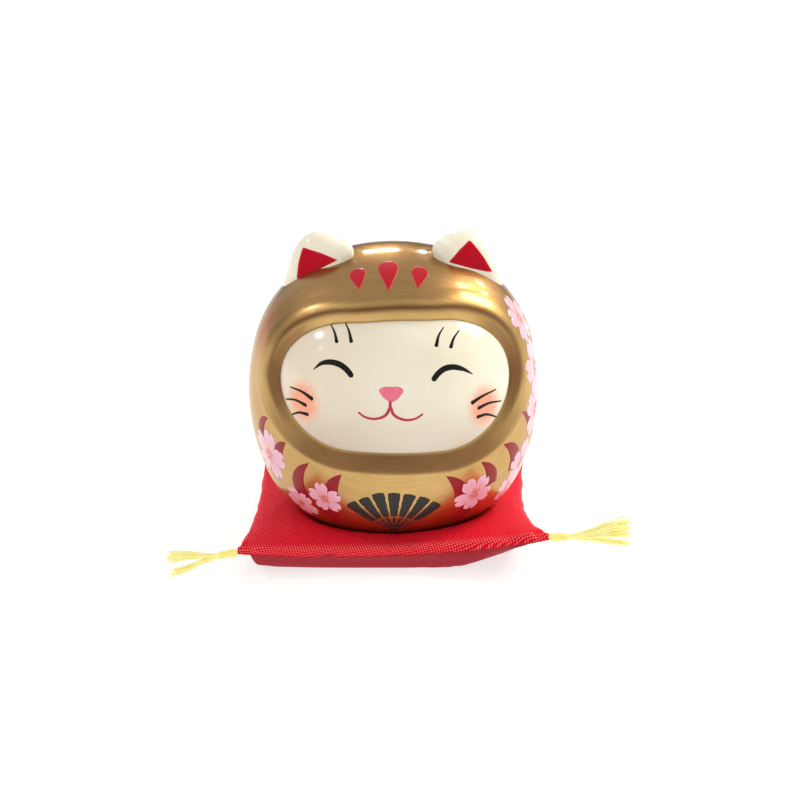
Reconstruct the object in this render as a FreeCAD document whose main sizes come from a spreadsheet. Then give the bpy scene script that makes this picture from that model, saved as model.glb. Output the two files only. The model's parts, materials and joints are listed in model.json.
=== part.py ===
"""Lucky-cat daruma: a hollow glazed ceramic doll on a stuffed square cushion with a tassel at each corner.

Millimetres, +Z up. The doll faces -Y. The origin is under the middle of the cushion, on the table.
"""
import FreeCAD, Part
import math
import os

import Sketcher
from FreeCAD import Placement, Rotation, Vector

# Driving dimensions: alias, value, meaning.
SIZES = [
    # ceramic casting: an egg of revolution about Z, drawn as tangent arcs from crown to foot
    ("body_radius", 43.0, "largest radius of the doll, at its equator"),
    ("equator_height", 43.3, "height of that radius above the table"),
    ("crown_height", 86.8, "top of the head between the ears"),
    ("foot_height", 4.0, "underside of the foot, where it presses the cushion flat"),
    ("foot_lift", 1.0, "height of the unglazed foot ring"),
    ("crown_arc", 59.0, "radius of the crown arc"),
    ("shoulder_arc", 36.0, "radius of the arc above the sides"),
    ("side_arc", 60.0, "radius of the arc through the equator"),
    ("hip_arc", 28.0, "radius of the arc below the sides"),
    ("hip_centre", 12.6, "distance of that arc's centre from the axis"),
    ("wall", 4.5, "thickness of the slip-cast wall"),
    ("vent_radius", 4.0, "drain and vent hole under the foot"),
    ("foot_outer", 17.0, "outer radius of the foot ring"),
    ("foot_inner", 11.0, "inner radius of the foot ring"),
    ("foot_clearance", 1.5, "free space round the foot ring in the cushion"),
    # hood opening and the face that bulges in it
    ("opening_height", 52.5, "height of the opening's middle"),
    ("opening_half_straight", 16.0, "half length of its straight top and bottom"),
    ("opening_end_radius", 18.0, "radius of its round ends"),
    ("face_recess", 2.3, "how far the face lies below the hood"),
    ("lip_round", 1.4, "rounding of the hood's edge"),
    # ears
    ("ear_side", 22.6, "ear's distance from the middle plane"),
    ("ear_forward", 5.5, "ear's distance in front of the axis"),
    ("ear_turn", 24.0, "how far each ear faces outwards, degrees"),
    ("ear_root", 71.0, "height of the ear's lowest section, inside the body"),
    ("ear_tip", 91.6, "height of the ear's tip section"),
    ("ear_half_width", 11.6, "half width of the lowest section"),
    ("ear_half_depth", 7.6, "half depth of the lowest section"),
    ("ear_tip_half_width", 4.2, "half width of the tip section"),
    ("ear_tip_half_depth", 2.9, "half depth of the tip section"),
    ("ear_lean", 2.6, "how far the tip leans outwards"),
    ("ear_round", 2.4, "rounding of the tip"),
    # cushion
    ("pad_half_width", 42.4, "half width of the pad between its corners, at the seam"),
    ("pad_half_depth", 41.2, "half depth of the pad between its corners, at the seam"),
    ("pad_top", 7.2, "top of the pad outside the dish"),
    ("seam_height", 3.2, "height of the seam round the pad's middle"),
    ("pad_slope", 3.6, "how far the top and bottom outlines are inside the seam"),
    ("corner_cut", 4.5, "length cut off each corner of the pad"),
    ("side_sweep", 500.0, "radius of the pulled-in sides"),
    ("cloth", 0.6, "thickness of the cover cloth"),
    ("dish_gap", 0.3, "free space between the doll and the dish"),
    # pulled corners and tassels
    ("corner_x", 43.2, "tip of a front corner from the middle plane, left to right"),
    ("back_corner_x", 41.0, "tip of a rear corner from the middle plane, left to right"),
    ("corner_y", 42.0, "tip of a corner from the middle plane, front to back"),
    ("corner_root_inset", 7.0, "where a corner starts, inside its tip"),
    ("corner_root_height", 4.4, "height of the middle of a corner's root"),
    ("corner_root_radius", 2.9, "radius of a corner at its root"),
    ("corner_tip_radius", 1.2, "radius of a corner at its tip"),
    ("knot_radius", 1.3, "radius of a tassel's knot"),
    ("knot_gap", 0.3, "free space between a corner's tip and the knot"),
    ("tassel_length", 19.0, "length of the threads from the knot's middle"),
    ("tassel_neck_radius", 0.8, "radius of the thread bundle at the knot"),
    ("tassel_end_radius", 2.6, "radius of the thread bundle at its cut end"),
]
VALUE = {alias: value for alias, value, _ in SIZES}
BEYOND = 20.0  # how far a cutting tool runs past what it cuts

# Each corner: name, side (+1 right), side (+1 back), height of its tip, then its tassel's heading about Z from
# +X, and its climb.
CORNERS = [
    ("front_left", -1, -1, 7.4, 186.0, -11.0),
    ("front_right", 1, -1, 11.6, -4.0, 3.0),
    ("back_left", -1, 1, 7.4, 70.0, -8.0),
    ("back_right", 1, 1, 9.0, 110.0, -6.0),
]
FRONT_PLANE = Rotation(Vector(1, 0, 0), 90)  # sketch X is X, sketch Y is Z

doc = FreeCAD.newDocument("lucky_cat_daruma")


def make_sheet():
    """The driving dimensions as an aliased spreadsheet."""
    sheet = doc.addObject("Spreadsheet::Sheet", "Sizes")
    for row, (alias, value, meaning) in enumerate(SIZES, start=1):
        sheet.set(f"A{row}", meaning)
        sheet.set(f"B{row}", str(value))
        sheet.setAlias(f"B{row}", alias)
    doc.recompute()


def bind(obj, **expressions):
    """Binds properties to the sheet; a double underscore in a key stands for a dot."""
    for path, expression in expressions.items():
        obj.setExpression(path.replace("__", "."), expression)


def cell(name):
    return f"Sizes.{name}"


def add(kind, name, **expressions):
    obj = doc.addObject(kind, name)
    bind(obj, **expressions)
    return obj


def evaluate(expression):
    """Value of an expression over the sheet's cells."""
    return float(doc.getObject("Sizes").evalExpression(expression))


def dimension(sketch, name, expression, kind, *geometry):
    """Adds a named dimension to a sketch and binds it to the sheet."""
    sketch.addConstraint(Sketcher.Constraint(kind, *geometry, evaluate(expression)))
    sketch.renameConstraint(sketch.ConstraintCount - 1, name)
    sketch.setExpression(f"Constraints.{name}", expression)


def cut(name, base, tool):
    obj = doc.addObject("Part::Cut", name)
    obj.Base, obj.Tool = base, tool
    return obj


def common(name, base, tool):
    obj = doc.addObject("Part::Common", name)
    obj.Base, obj.Tool = base, tool
    return obj


def fuse(name, shapes):
    obj = doc.addObject("Part::MultiFuse", name)
    obj.Shapes = shapes
    return obj


# ---- ceramic casting ----------------------------------------------------------------------------------

def egg_arcs(inset):
    """Centre and radius of the crown, shoulder, side and hip arcs of a surface inset from the egg's outside."""
    side_arc, shoulder_arc = VALUE["side_arc"], VALUE["shoulder_arc"]
    side = Vector(VALUE["body_radius"] - side_arc, VALUE["equator_height"], 0)
    crown = Vector(0, VALUE["crown_height"] - VALUE["crown_arc"], 0)
    to_side, to_crown = side_arc - shoulder_arc, VALUE["crown_arc"] - shoulder_arc
    span = crown - side
    along = (to_side**2 - to_crown**2 + span.Length**2) / (2 * span.Length)
    across = math.sqrt(to_side**2 - along**2)
    unit = Vector(span).normalize()
    shoulder = side + unit * along + Vector(-unit.y, unit.x, 0) * across
    hip_x = VALUE["hip_centre"]
    hip_drop = math.sqrt((side_arc - VALUE["hip_arc"]) ** 2 - (hip_x - side.x) ** 2)
    hip = Vector(hip_x, side.y - hip_drop, 0)
    names = ("crown_arc", "shoulder_arc", "side_arc", "hip_arc")
    return [(centre, VALUE[name] - inset) for centre, name in zip((crown, shoulder, side, hip), names)]


def egg_profile(name, inset_expression):
    """Closed half profile of the egg in the X-Z plane, inset from its outer surface."""
    inset = evaluate(inset_expression)
    arcs = egg_arcs(inset)
    floor = VALUE["foot_height"] + VALUE["foot_lift"] + inset
    top = arcs[0][0] + Vector(0, arcs[0][1], 0)
    points = [top]
    for (centre, radius), (following, next_radius) in zip(arcs, arcs[1:]):
        points.append(centre + (following - centre) * (radius / (radius - next_radius)))
    hip, hip_radius = arcs[3]
    points.append(Vector(hip.x + math.sqrt(hip_radius**2 - (hip.y - floor) ** 2), floor, 0))

    sketch = doc.addObject("Sketcher::SketchObject", name)
    sketch.Placement = Placement(Vector(), FRONT_PLANE)
    for (centre, radius), high, low in zip(arcs, points, points[1:]):
        circle = Part.Circle(centre, Vector(0, 0, 1), radius)
        angles = [math.atan2(point.y - centre.y, point.x - centre.x) for point in (low, high)]
        sketch.addGeometry(Part.ArcOfCircle(circle, *angles))
    sketch.addGeometry(Part.LineSegment(points[4], Vector(0, floor, 0)))
    sketch.addGeometry(Part.LineSegment(Vector(0, floor, 0), top))
    for arc in range(3):
        sketch.addConstraint(Sketcher.Constraint("Tangent", arc, 1, arc + 1, 2))
    sketch.addConstraint(Sketcher.Constraint("Coincident", 3, 1, 4, 1))
    sketch.addConstraint(Sketcher.Constraint("Coincident", 4, 2, 5, 1))
    sketch.addConstraint(Sketcher.Constraint("Coincident", 5, 2, 0, 2))
    sketch.addConstraint(Sketcher.Constraint("Horizontal", 4))
    for geometry, point in ((5, 1), (5, 2), (0, 3)):
        sketch.addConstraint(Sketcher.Constraint("PointOnObject", geometry, point, -2))
    for arc, alias in enumerate(("crown_arc", "shoulder_arc", "side_arc", "hip_arc")):
        dimension(sketch, alias, f"{cell(alias)} - ({inset_expression})", "Radius", arc)
    side_in = f"{cell('side_arc')} - {cell('body_radius')}"
    foot = f"{cell('foot_height')} + {cell('foot_lift')} + ({inset_expression})"
    dimension(sketch, "equator", cell("equator_height"), "DistanceY", -1, 1, 2, 3)
    dimension(sketch, "side_centre", side_in, "DistanceX", 2, 3, -1, 1)
    dimension(sketch, "hip_centre", cell("hip_centre"), "DistanceX", -1, 1, 3, 3)
    dimension(sketch, "crown", f"{cell('crown_height')} - ({inset_expression})", "DistanceY", -1, 1, 5, 2)
    dimension(sketch, "floor", foot, "DistanceY", -1, 1, 4, 2)
    return sketch


def revolve(name, sketch):
    obj = doc.addObject("Part::Revolution", name)
    obj.Source = sketch
    obj.Axis = Vector(0, 0, 1)
    obj.Base = Vector(0, 0, 0)
    obj.Angle = 360
    obj.Solid = True
    return obj


def opening_prism():
    """The hood opening, a round-ended slot in the front view, run from the axis out past the front."""
    sizes = ("opening_height", "opening_half_straight", "opening_end_radius")
    height, half, radius = (VALUE[size] for size in sizes)
    sketch = doc.addObject("Sketcher::SketchObject", "opening_outline")
    sketch.Placement = Placement(Vector(), FRONT_PLANE)
    up, down = math.pi / 2, -math.pi / 2
    right = Part.Circle(Vector(half, height, 0), Vector(0, 0, 1), radius)
    left = Part.Circle(Vector(-half, height, 0), Vector(0, 0, 1), radius)
    sketch.addGeometry(Part.ArcOfCircle(right, down, up))
    sketch.addGeometry(Part.LineSegment(Vector(half, height + radius, 0), Vector(-half, height + radius, 0)))
    sketch.addGeometry(Part.ArcOfCircle(left, up, up + math.pi))
    sketch.addGeometry(Part.LineSegment(Vector(-half, height - radius, 0), Vector(half, height - radius, 0)))
    for first, end, second, start in ((0, 2, 1, 1), (1, 2, 2, 1), (2, 2, 3, 1), (3, 2, 0, 1)):
        sketch.addConstraint(Sketcher.Constraint("Tangent", first, end, second, start))
    sketch.addConstraint(Sketcher.Constraint("Horizontal", 1))
    sketch.addConstraint(Sketcher.Constraint("Symmetric", 0, 3, 2, 3, -2))
    dimension(sketch, "end_radius", cell("opening_end_radius"), "Radius", 0)
    dimension(sketch, "half_straight", cell("opening_half_straight"), "DistanceX", -1, 1, 0, 3)
    dimension(sketch, "height", cell("opening_height"), "DistanceY", -1, 1, 0, 3)
    prism = doc.addObject("Part::Extrusion", "opening")
    prism.Base = sketch
    prism.DirMode = "Custom"
    prism.Dir = Vector(0, -1, 0)
    prism.Solid = True
    bind(prism, LengthFwd=f"{cell('body_radius')} + {BEYOND}")
    return prism


def make_casting():
    """The gold hood and robe, the white face in its opening, and the bare foot: one hollow slip casting."""
    envelope = revolve("envelope", egg_profile("outer_profile", "0"))
    cavity = revolve("cavity", egg_profile("cavity_profile", cell("wall")))
    face_ball = revolve("face_ball", egg_profile("face_profile", cell("face_recess")))
    opening = opening_prism()
    vent = add("Part::Cylinder", "vent", Radius=cell("vent_radius"), Height=f"{cell('wall')} + {BEYOND}")

    hollow = cut("hollow_body", envelope, cavity)
    vented = cut("vented_body", hollow, vent)
    opened = cut("opened_body", vented, opening)
    doc.recompute()
    shell = doc.addObject("Part::Fillet", "body_shell")
    shell.Base = opened
    shell.Edges = [(n, VALUE["lip_round"], VALUE["lip_round"]) for n in lip_edges(opened.Shape)]
    shell.Label = "body_shell"

    face_wall = cut("face_wall", face_ball, cavity)
    face = common("face_panel", face_wall, opening)
    face.Label = "face_panel"

    foot = add("Part::Cylinder", "foot_disc", Radius=cell("foot_outer"), Height=cell("foot_lift"))
    hollow_foot = add("Part::Cylinder", "foot_hollow", Radius=cell("foot_inner"), Height=cell("foot_lift"))
    for disc in (foot, hollow_foot):
        bind(disc, Placement__Base__z=cell("foot_height"))
    ring = cut("foot_ring", foot, hollow_foot)
    ring.Label = "foot_ring"
    return envelope, shell, face, ring


def lip_edges(shape):
    """Numbers of the edges where the opening cuts the outside of the egg."""
    found = []
    for number, edge in enumerate(shape.Edges, start=1):
        middle = edge.valueAt((edge.FirstParameter + edge.LastParameter) / 2)
        ends = [v.Point for v in edge.Vertexes]
        on_wall = [on_opening_wall(p) for p in [middle] + ends]
        if all(on_wall) and abs(outer_distance(middle)) < 0.05:
            found.append(number)
    return found


def outer_distance(point):
    """Distance of a point outside the egg, which is the part that its arcs' circles have in common."""
    flat = Vector(math.hypot(point.x, point.y), point.z, 0)
    crown, _, side, _ = egg_arcs(0.0)
    return max((flat - centre).Length - radius for centre, radius in (crown, side))


def on_opening_wall(point):
    half, radius = VALUE["opening_half_straight"], VALUE["opening_end_radius"]
    x = max(abs(point.x) - half, 0.0)
    z = point.z - VALUE["opening_height"]
    return point.y < 0 and abs(math.hypot(x, z) - radius) < 0.02


# ---- ears ---------------------------------------------------------------------------------------------

def between(first, second, share):
    """Expression for the value at a share of the way from one cell to another."""
    return f"{cell(first)} + {share:.3f} * ({cell(second)} - {cell(first)})"


def make_ear(name, side, envelope):
    """A fat ear: ellipses lofted from inside the body to the tip, rounded there, less what is in the body."""
    sections = []
    for level, share in enumerate((0.0, 0.45, 0.78, 1.0)):
        swell = math.cos(share * math.pi / 2)  # sides that close in ever faster towards the tip
        ring = add(
            "Part::Ellipse",
            f"{name}_section_{level}",
            MajorRadius=between("ear_tip_half_width", "ear_half_width", swell),
            MinorRadius=between("ear_tip_half_depth", "ear_half_depth", swell),
            Placement__Base__x=f"{side} * ({cell('ear_side')} + {share:.2f} * {cell('ear_lean')})",
            Placement__Base__y=f"-{cell('ear_forward')}",
            Placement__Base__z=between("ear_root", "ear_tip", share),
        )
        ring.Placement.Rotation = Rotation(Vector(0, 0, side), VALUE["ear_turn"])
        bind(ring, Placement__Rotation__Angle=cell("ear_turn"))
        sections.append(ring)
    horn = doc.addObject("Part::Loft", f"{name}_horn")
    horn.Sections = sections
    horn.Solid = True
    doc.recompute()
    rounded = doc.addObject("Part::Fillet", f"{name}_rounded")
    rounded.Base = horn
    for number, edge in enumerate(horn.Shape.Edges, start=1):
        if edge.BoundBox.ZMin > VALUE["ear_tip"] - 0.1:
            rounded.Edges = [(number, VALUE["ear_round"], VALUE["ear_round"])]
    ear = cut(name, rounded, envelope)
    ear.Label = name
    return ear


# ---- cushion ------------------------------------------------------------------------------------------

def pad_outline(name, height, inset):
    """Outline of the pad: four pulled-in sides and four short corners. Height and inset are expressions."""
    far_x, far_y = (f"{cell(size)} - ({inset})" for size in ("pad_half_width", "pad_half_depth"))
    half_x, half_y = evaluate(far_x), evaluate(far_y)
    corner, sweep = VALUE["corner_cut"], VALUE["side_sweep"]
    sketch = doc.addObject("Sketcher::SketchObject", name)
    bind(sketch, Placement__Base__z=height)
    corners = []
    for sx, sy in ((1, 1), (-1, 1), (-1, -1), (1, -1)):
        near_x = Vector(sx * half_x, sy * (half_y - corner), 0)
        near_y = Vector(sx * (half_x - corner), sy * half_y, 0)
        corners += [near_x, near_y] if sx * sy > 0 else [near_y, near_x]
    for k in range(4):
        sketch.addGeometry(Part.LineSegment(corners[2 * k], corners[2 * k + 1]))
    for k in range(4):
        sketch.addGeometry(pulled_side(corners[2 * k + 1], corners[(2 * k + 2) % 8], sweep))
    for k in range(4):
        sketch.addConstraint(Sketcher.Constraint("Coincident", k, 2, 4 + k, 2))
        sketch.addConstraint(Sketcher.Constraint("Coincident", (k + 1) % 4, 1, 4 + k, 1))
        dimension(sketch, f"sweep_{k}", cell("side_sweep"), "Radius", 4 + k)
    for a, b, axis in ((0, 1, -2), (1, 2, -1), (0, 3, -1)):
        sketch.addConstraint(Sketcher.Constraint("Symmetric", a, 1, b, 2, axis))
        sketch.addConstraint(Sketcher.Constraint("Symmetric", a, 2, b, 1, axis))
    dimension(sketch, "half_x", far_x, "DistanceX", -1, 1, 0, 1)
    dimension(sketch, "half_y", far_y, "DistanceY", -1, 1, 0, 2)
    dimension(sketch, "corner_x", f"{far_x} - {cell('corner_cut')}", "DistanceX", -1, 1, 0, 2)
    dimension(sketch, "corner_y", f"{far_y} - {cell('corner_cut')}", "DistanceY", -1, 1, 0, 1)
    return sketch


def pulled_side(first, second, radius):
    """Arc between two corners that bows towards the pad's middle, so its centre is outside the pad."""
    middle = (first + second) * 0.5
    reach = math.sqrt(radius**2 - (second - first).Length ** 2 / 4)
    centre = middle + Vector(middle).normalize() * reach
    angles = [math.atan2(point.y - centre.y, point.x - centre.x) for point in (second, first)]
    return Part.ArcOfCircle(Part.Circle(centre, Vector(0, 0, 1), radius), *angles)


def ruled_loft(name, sections):
    obj = doc.addObject("Part::Loft", name)
    obj.Sections = sections
    obj.Solid = True
    obj.Ruled = True
    return obj


def make_cushion(envelope):
    """Top and bottom cloth panels, joined at the seam, round the wadding; the top has the doll's dish."""
    slope, cloth = cell("pad_slope"), cell("cloth")
    top = [
        pad_outline("seam_outline_top", cell("seam_height"), "0"),
        pad_outline("top_outline", cell("pad_top"), slope),
    ]
    bottom = [
        pad_outline("bottom_outline", "0", slope),
        pad_outline("seam_outline_bottom", cell("seam_height"), "0"),
    ]
    fill_top = [
        pad_outline("fill_seam_top", cell("seam_height"), cloth),
        pad_outline("fill_top", f"{cell('pad_top')} - {cloth}", f"{slope} + {cloth}"),
    ]
    fill_bottom = [
        pad_outline("fill_bottom", cloth, f"{slope} + {cloth}"),
        pad_outline("fill_seam_bottom", cell("seam_height"), cloth),
    ]
    upper, lower = ruled_loft("pad_upper", top), ruled_loft("pad_lower", bottom)
    fill = fuse("fill_blank", [ruled_loft("fill_upper", fill_top), ruled_loft("fill_lower", fill_bottom)])
    dish = revolve("dish", egg_profile("dish_profile", f"-{cell('dish_gap')}"))
    hole = f"{cell('foot_outer')} + {cell('foot_clearance')}"
    under = add("Part::Cylinder", "under_foot", Radius=hole, Height=f"{BEYOND}")
    bind(under, Placement__Base__z=cell("foot_height"))
    press = fuse("press", [dish, under])
    thick_dish = revolve("cloth_dish", egg_profile("cloth_dish_profile", f"-{cell('dish_gap')} - {cloth}"))
    thick_under = add("Part::Cylinder", "under_cloth", Radius=f"{hole} + {cloth}", Height=f"{BEYOND}")
    bind(thick_under, Placement__Base__z=f"{cell('foot_height')} - {cloth}")
    thick_press = fuse("cloth_press", [thick_dish, thick_under])

    wadding = cut("cushion_wadding", fill, thick_press)
    corners = [make_corner(*corner[:4]) for corner in CORNERS]
    upper_skin = cut("upper_skin", fuse("upper_with_corners", [upper] + corners), press)
    clear_below = cut("upper_clear", upper_skin, lower)
    cover_top = cut("cushion_cover_top", clear_below, wadding)
    cover_bottom = cut("cushion_cover_bottom", lower, wadding)
    for obj in (wadding, cover_top, cover_bottom):
        obj.Label = obj.Name
    return wadding, cover_top, cover_bottom


def corner_axis(side_x, side_y, tip_height):
    """Root, tip and unit direction of a pulled corner."""
    v = VALUE
    tip_x = v["corner_x"] if side_y < 0 else v["back_corner_x"]
    tip = Vector(side_x * tip_x, side_y * v["corner_y"], tip_height)
    inset = v["corner_root_inset"]
    root = Vector(tip.x - side_x * inset, tip.y - side_y * inset, v["corner_root_height"])
    return root, tip, (tip - root).normalize()


def make_corner(name, side_x, side_y, tip_height):
    """The pulled corner of the cover, a taper from the pad out to the tassel's knot."""
    root, tip, direction = corner_axis(side_x, side_y, tip_height)
    radii = {"Radius1": cell("corner_root_radius"), "Radius2": cell("corner_tip_radius")}
    taper = add("Part::Cone", f"corner_{name}", **radii)
    taper.Height = (tip - root).Length
    taper.Placement = Placement(root, Rotation(Vector(0, 0, 1), direction))
    return taper


# ---- tassels ------------------------------------------------------------------------------------------

def knot_centre(side_x, side_y, tip_height):
    """Middle of the knot, on the line of its corner, just clear of the tip. It is the tassel's pivot."""
    _, tip, direction = corner_axis(side_x, side_y, tip_height)
    return tip + direction * (VALUE["knot_gap"] + VALUE["knot_radius"])


def make_tassel(name, side_x, side_y, tip_height, heading, climb):
    """The knot that ties the threads to the corner, and the flared bundle of loose threads."""
    centre = knot_centre(side_x, side_y, tip_height)
    a, c = math.radians(heading), math.radians(climb)
    along = Vector(math.cos(a) * math.cos(c), math.sin(a) * math.cos(c), math.sin(c))
    knot = add("Part::Sphere", f"tassel_{name}_knot", Radius=cell("knot_radius"))
    knot.Placement.Base = centre
    bundle = add(
        "Part::Cone",
        f"{name}_bundle",
        Radius1=cell("tassel_neck_radius"),
        Radius2=cell("tassel_end_radius"),
        Height=cell("tassel_length"),
    )
    bundle.Placement = Placement(centre, Rotation(Vector(0, 0, 1), along))
    threads = cut(f"tassel_{name}_threads", bundle, knot)
    for obj in (knot, threads):
        obj.Label = obj.Name
    spot, way = ([round(value, 3) for value in vector] for vector in (centre, along))
    print(f"pivot {name}: {spot} along {way}")
    return [knot, threads]


# ---- build, check and write ---------------------------------------------------------------------------

def main():
    make_sheet()
    envelope, shell, face, foot = make_casting()
    parts = [shell, face, foot]
    for name, side in (("ear_left", -1), ("ear_right", 1)):
        parts.append(make_ear(name, side, envelope))
    parts += make_cushion(envelope)
    for corner in CORNERS:
        parts += make_tassel(*corner)
    doc.recompute()

    for obj in doc.Objects:
        bad = [state for state in obj.State if state in ("Invalid", "Error")]
        if bad:
            raise RuntimeError(f"{obj.Name} is {bad}")
    os.makedirs("parts", exist_ok=True)
    for old in os.listdir("parts"):
        os.remove(os.path.join("parts", old))
    for part in parts:
        shape = part.Shape
        if shape.isNull() or not shape.isValid() or shape.Volume <= 0:
            raise RuntimeError(f"{part.Label} has a bad shape")
        box = shape.BoundBox
        size = [round(length, 2) for length in (box.XLength, box.YLength, box.ZLength)]
        print(f"{part.Label}: {len(shape.Solids)} solid, {shape.Volume:.1f} mm3, {size}, base z {box.ZMin:.2f}")
        shape.exportStep(f"parts/{part.Label}.step")


main()
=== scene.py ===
"""Looks of the cat-shaped daruma: a gold and white glazed doll on a red stuffed cushion with yellow tassels.

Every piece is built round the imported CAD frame. Shapes are worked out in millimetres, with Z up from the
table and the doll facing -Y, and become metres where a mesh is made.
"""
import json
import math

import bmesh
import bpy
import numpy as np
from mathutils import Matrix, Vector


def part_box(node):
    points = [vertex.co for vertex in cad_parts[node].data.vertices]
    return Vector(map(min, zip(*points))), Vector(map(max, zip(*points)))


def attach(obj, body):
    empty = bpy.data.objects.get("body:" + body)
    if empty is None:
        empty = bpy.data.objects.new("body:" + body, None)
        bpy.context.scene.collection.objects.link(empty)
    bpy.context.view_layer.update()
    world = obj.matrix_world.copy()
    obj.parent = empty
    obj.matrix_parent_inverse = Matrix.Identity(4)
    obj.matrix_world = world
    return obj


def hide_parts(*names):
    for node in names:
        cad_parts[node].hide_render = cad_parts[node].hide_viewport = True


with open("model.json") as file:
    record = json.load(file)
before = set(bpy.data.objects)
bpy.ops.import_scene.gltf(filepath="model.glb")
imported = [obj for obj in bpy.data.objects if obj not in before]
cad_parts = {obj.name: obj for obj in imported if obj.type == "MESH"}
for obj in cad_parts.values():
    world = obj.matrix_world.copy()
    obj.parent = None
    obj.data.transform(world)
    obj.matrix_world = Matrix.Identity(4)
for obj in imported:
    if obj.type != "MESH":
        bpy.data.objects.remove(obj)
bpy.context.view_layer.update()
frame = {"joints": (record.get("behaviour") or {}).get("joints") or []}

MM = 0.001
SEED = 7

# ---- driving sizes, from the frame where it has them ---------------------------------------------
_low, _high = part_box("body_shell")
BODY_RADIUS = _high.x / MM
CROWN = _high.z / MM
FLOOR_OF_BODY = _low.z / MM
CUSHION_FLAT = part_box("foot_ring")[0].z / MM  # the cloth under the foot, pressed flat

# the egg's profile, as tangent arcs
EQUATOR = 43.3
CROWN_ARC, SHOULDER_ARC, SIDE_ARC, HIP_ARC = 59.0, 36.0, 60.0, 28.0
HIP_CENTRE = 12.6
CENTRE = np.array([0.0, 0.0, EQUATOR])
WALL = 4.5

# the hood's opening: in the front view a slot with rounded ends, arched a little on top and a touch lopsided
OPENING_MIDDLE = (0.55, 10.25)  # sideways, and above the equator
OPENING_HALF = 13.5  # half length of its straight stretches
OPENING_ROUND = 18.05  # half height
OPENING_WIDEN = 1.14  # length of its ends over their half height
OPENING_ARCH = 1.0  # rise of the top edge's middle
OPENING_LEAN = (-0.011, 0.027)  # slope of the bottom edge and of the top edge
COVE_DEPTH = 2.4  # of the gold cove at the white edge, below the egg
FACE_DEPTH = 0.6  # of the face's middle, below the egg
BAND = 6.6  # width of the worked band round the opening
COVE_WIDTH, COVE_WIDER_ABOVE, COVE_WIDER_BELOW = 3.1, 0.1, 2.6
COVE_TOE = 0.24  # share of the slope below the face that is rounded off
RIDGE_RISE, RIDGE_OUT, RIDGE_SPREAD = 0.36, 0.8, 1.5  # the hood's proud edge, outside the cove
BEAD_RISE, BEAD_OUT, BEAD_SPREAD = 0.10, 0.32, 0.2  # the fine bead that hugs the white

UP = np.array([0.0, 0.0, 1.0])


# ---- the egg -------------------------------------------------------------------------------------

def egg_table(samples=6001):
    """Normal angle, and radius and height from the equator's centre, all along the egg's profile."""
    side = np.array([BODY_RADIUS - SIDE_ARC, 0.0])
    crown = np.array([0.0, CROWN - EQUATOR - CROWN_ARC])
    to_side, to_crown = SIDE_ARC - SHOULDER_ARC, CROWN_ARC - SHOULDER_ARC
    span = crown - side
    length = np.hypot(*span)
    along = (to_side**2 - to_crown**2 + length**2) / (2 * length)
    across = math.sqrt(to_side**2 - along**2)
    toward = span / length
    shoulder = side + toward * along + np.array([-toward[1], toward[0]]) * across
    hip = np.array([HIP_CENTRE, -math.sqrt((SIDE_ARC - HIP_ARC) ** 2 - (HIP_CENTRE - side[0]) ** 2)])
    shoulder_from, shoulder_to, hip_to = (
        math.atan2(b[1] - a[1], b[0] - a[0]) for a, b in ((side, shoulder), (crown, shoulder), (side, hip))
    )
    normal = np.linspace(-math.pi / 2, math.pi / 2, samples)
    arcs = (
        (normal < hip_to, hip, HIP_ARC),
        ((normal >= hip_to) & (normal < shoulder_from), side, SIDE_ARC),
        ((normal >= shoulder_from) & (normal < shoulder_to), shoulder, SHOULDER_ARC),
        (normal >= shoulder_to, crown, CROWN_ARC),
    )
    points = np.zeros((samples, 2))
    for chosen, middle, radius in arcs:
        turn = normal[chosen]
        points[chosen] = middle + radius * np.stack([np.cos(turn), np.sin(turn)], 1)
    return normal, points


EGG_NORMAL, EGG = egg_table()
EGG_ANGLE = np.arctan2(EGG[:, 1], EGG[:, 0])
EGG_REACH = np.hypot(EGG[:, 0], EGG[:, 1])


def normal_of(tilt, turn):
    return np.stack([np.cos(tilt) * np.cos(turn), np.cos(tilt) * np.sin(turn), np.sin(tilt)], -1)


def on_egg(direction):
    """Points, relative to CENTRE, and unit normals where rays from the equator's centre leave the egg."""
    direction = direction / np.linalg.norm(direction, axis=-1, keepdims=True)
    angle = np.arctan2(direction[..., 2], np.hypot(direction[..., 0], direction[..., 1]))
    tilt = np.interp(angle, EGG_ANGLE, EGG_NORMAL)
    normal = normal_of(tilt, np.arctan2(direction[..., 1], direction[..., 0]))
    return direction * np.interp(angle, EGG_ANGLE, EGG_REACH)[..., None], normal


def on_front(x, z):
    """Points and unit normals of the egg's front half at x and at height z above the equator."""
    reach = np.interp(z, EGG[:, 1], EGG[:, 0])
    tilt = np.interp(z, EGG[:, 1], EGG_NORMAL)
    y = -np.sqrt(np.maximum(reach**2 - x**2, 0.0))
    return np.stack([x, y, z], -1), normal_of(tilt, np.arctan2(y, x))


def direction_of(azimuth, elevation):
    """Direction from the middle, at degrees to the right of the viewer and up."""
    az, el = math.radians(azimuth), math.radians(elevation)
    return np.array([math.sin(az) * math.cos(el), -math.cos(az) * math.cos(el), math.sin(el)])


def axes_across(normal):
    """Directions to the right and up, square to a normal."""
    right = np.cross(UP, normal)
    right /= np.linalg.norm(right)
    return right, np.cross(normal, right)


def smooth(low, high, value):
    t = np.clip((value - low) / (high - low), 0.0, 1.0)
    return t * t * (3 - 2 * t)


def bell(distance, spread):
    """A smooth hump, 1 in the middle."""
    return np.exp(-((distance / spread) ** 2))


def circle(count):
    """Angles all round, evenly spaced."""
    return np.linspace(0, 2 * math.pi, count, endpoint=False)


def unit(angle):
    """Points of the unit circle."""
    return np.stack([np.cos(angle), np.sin(angle)], 1)


# ---- the opening ---------------------------------------------------------------------------------

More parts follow.
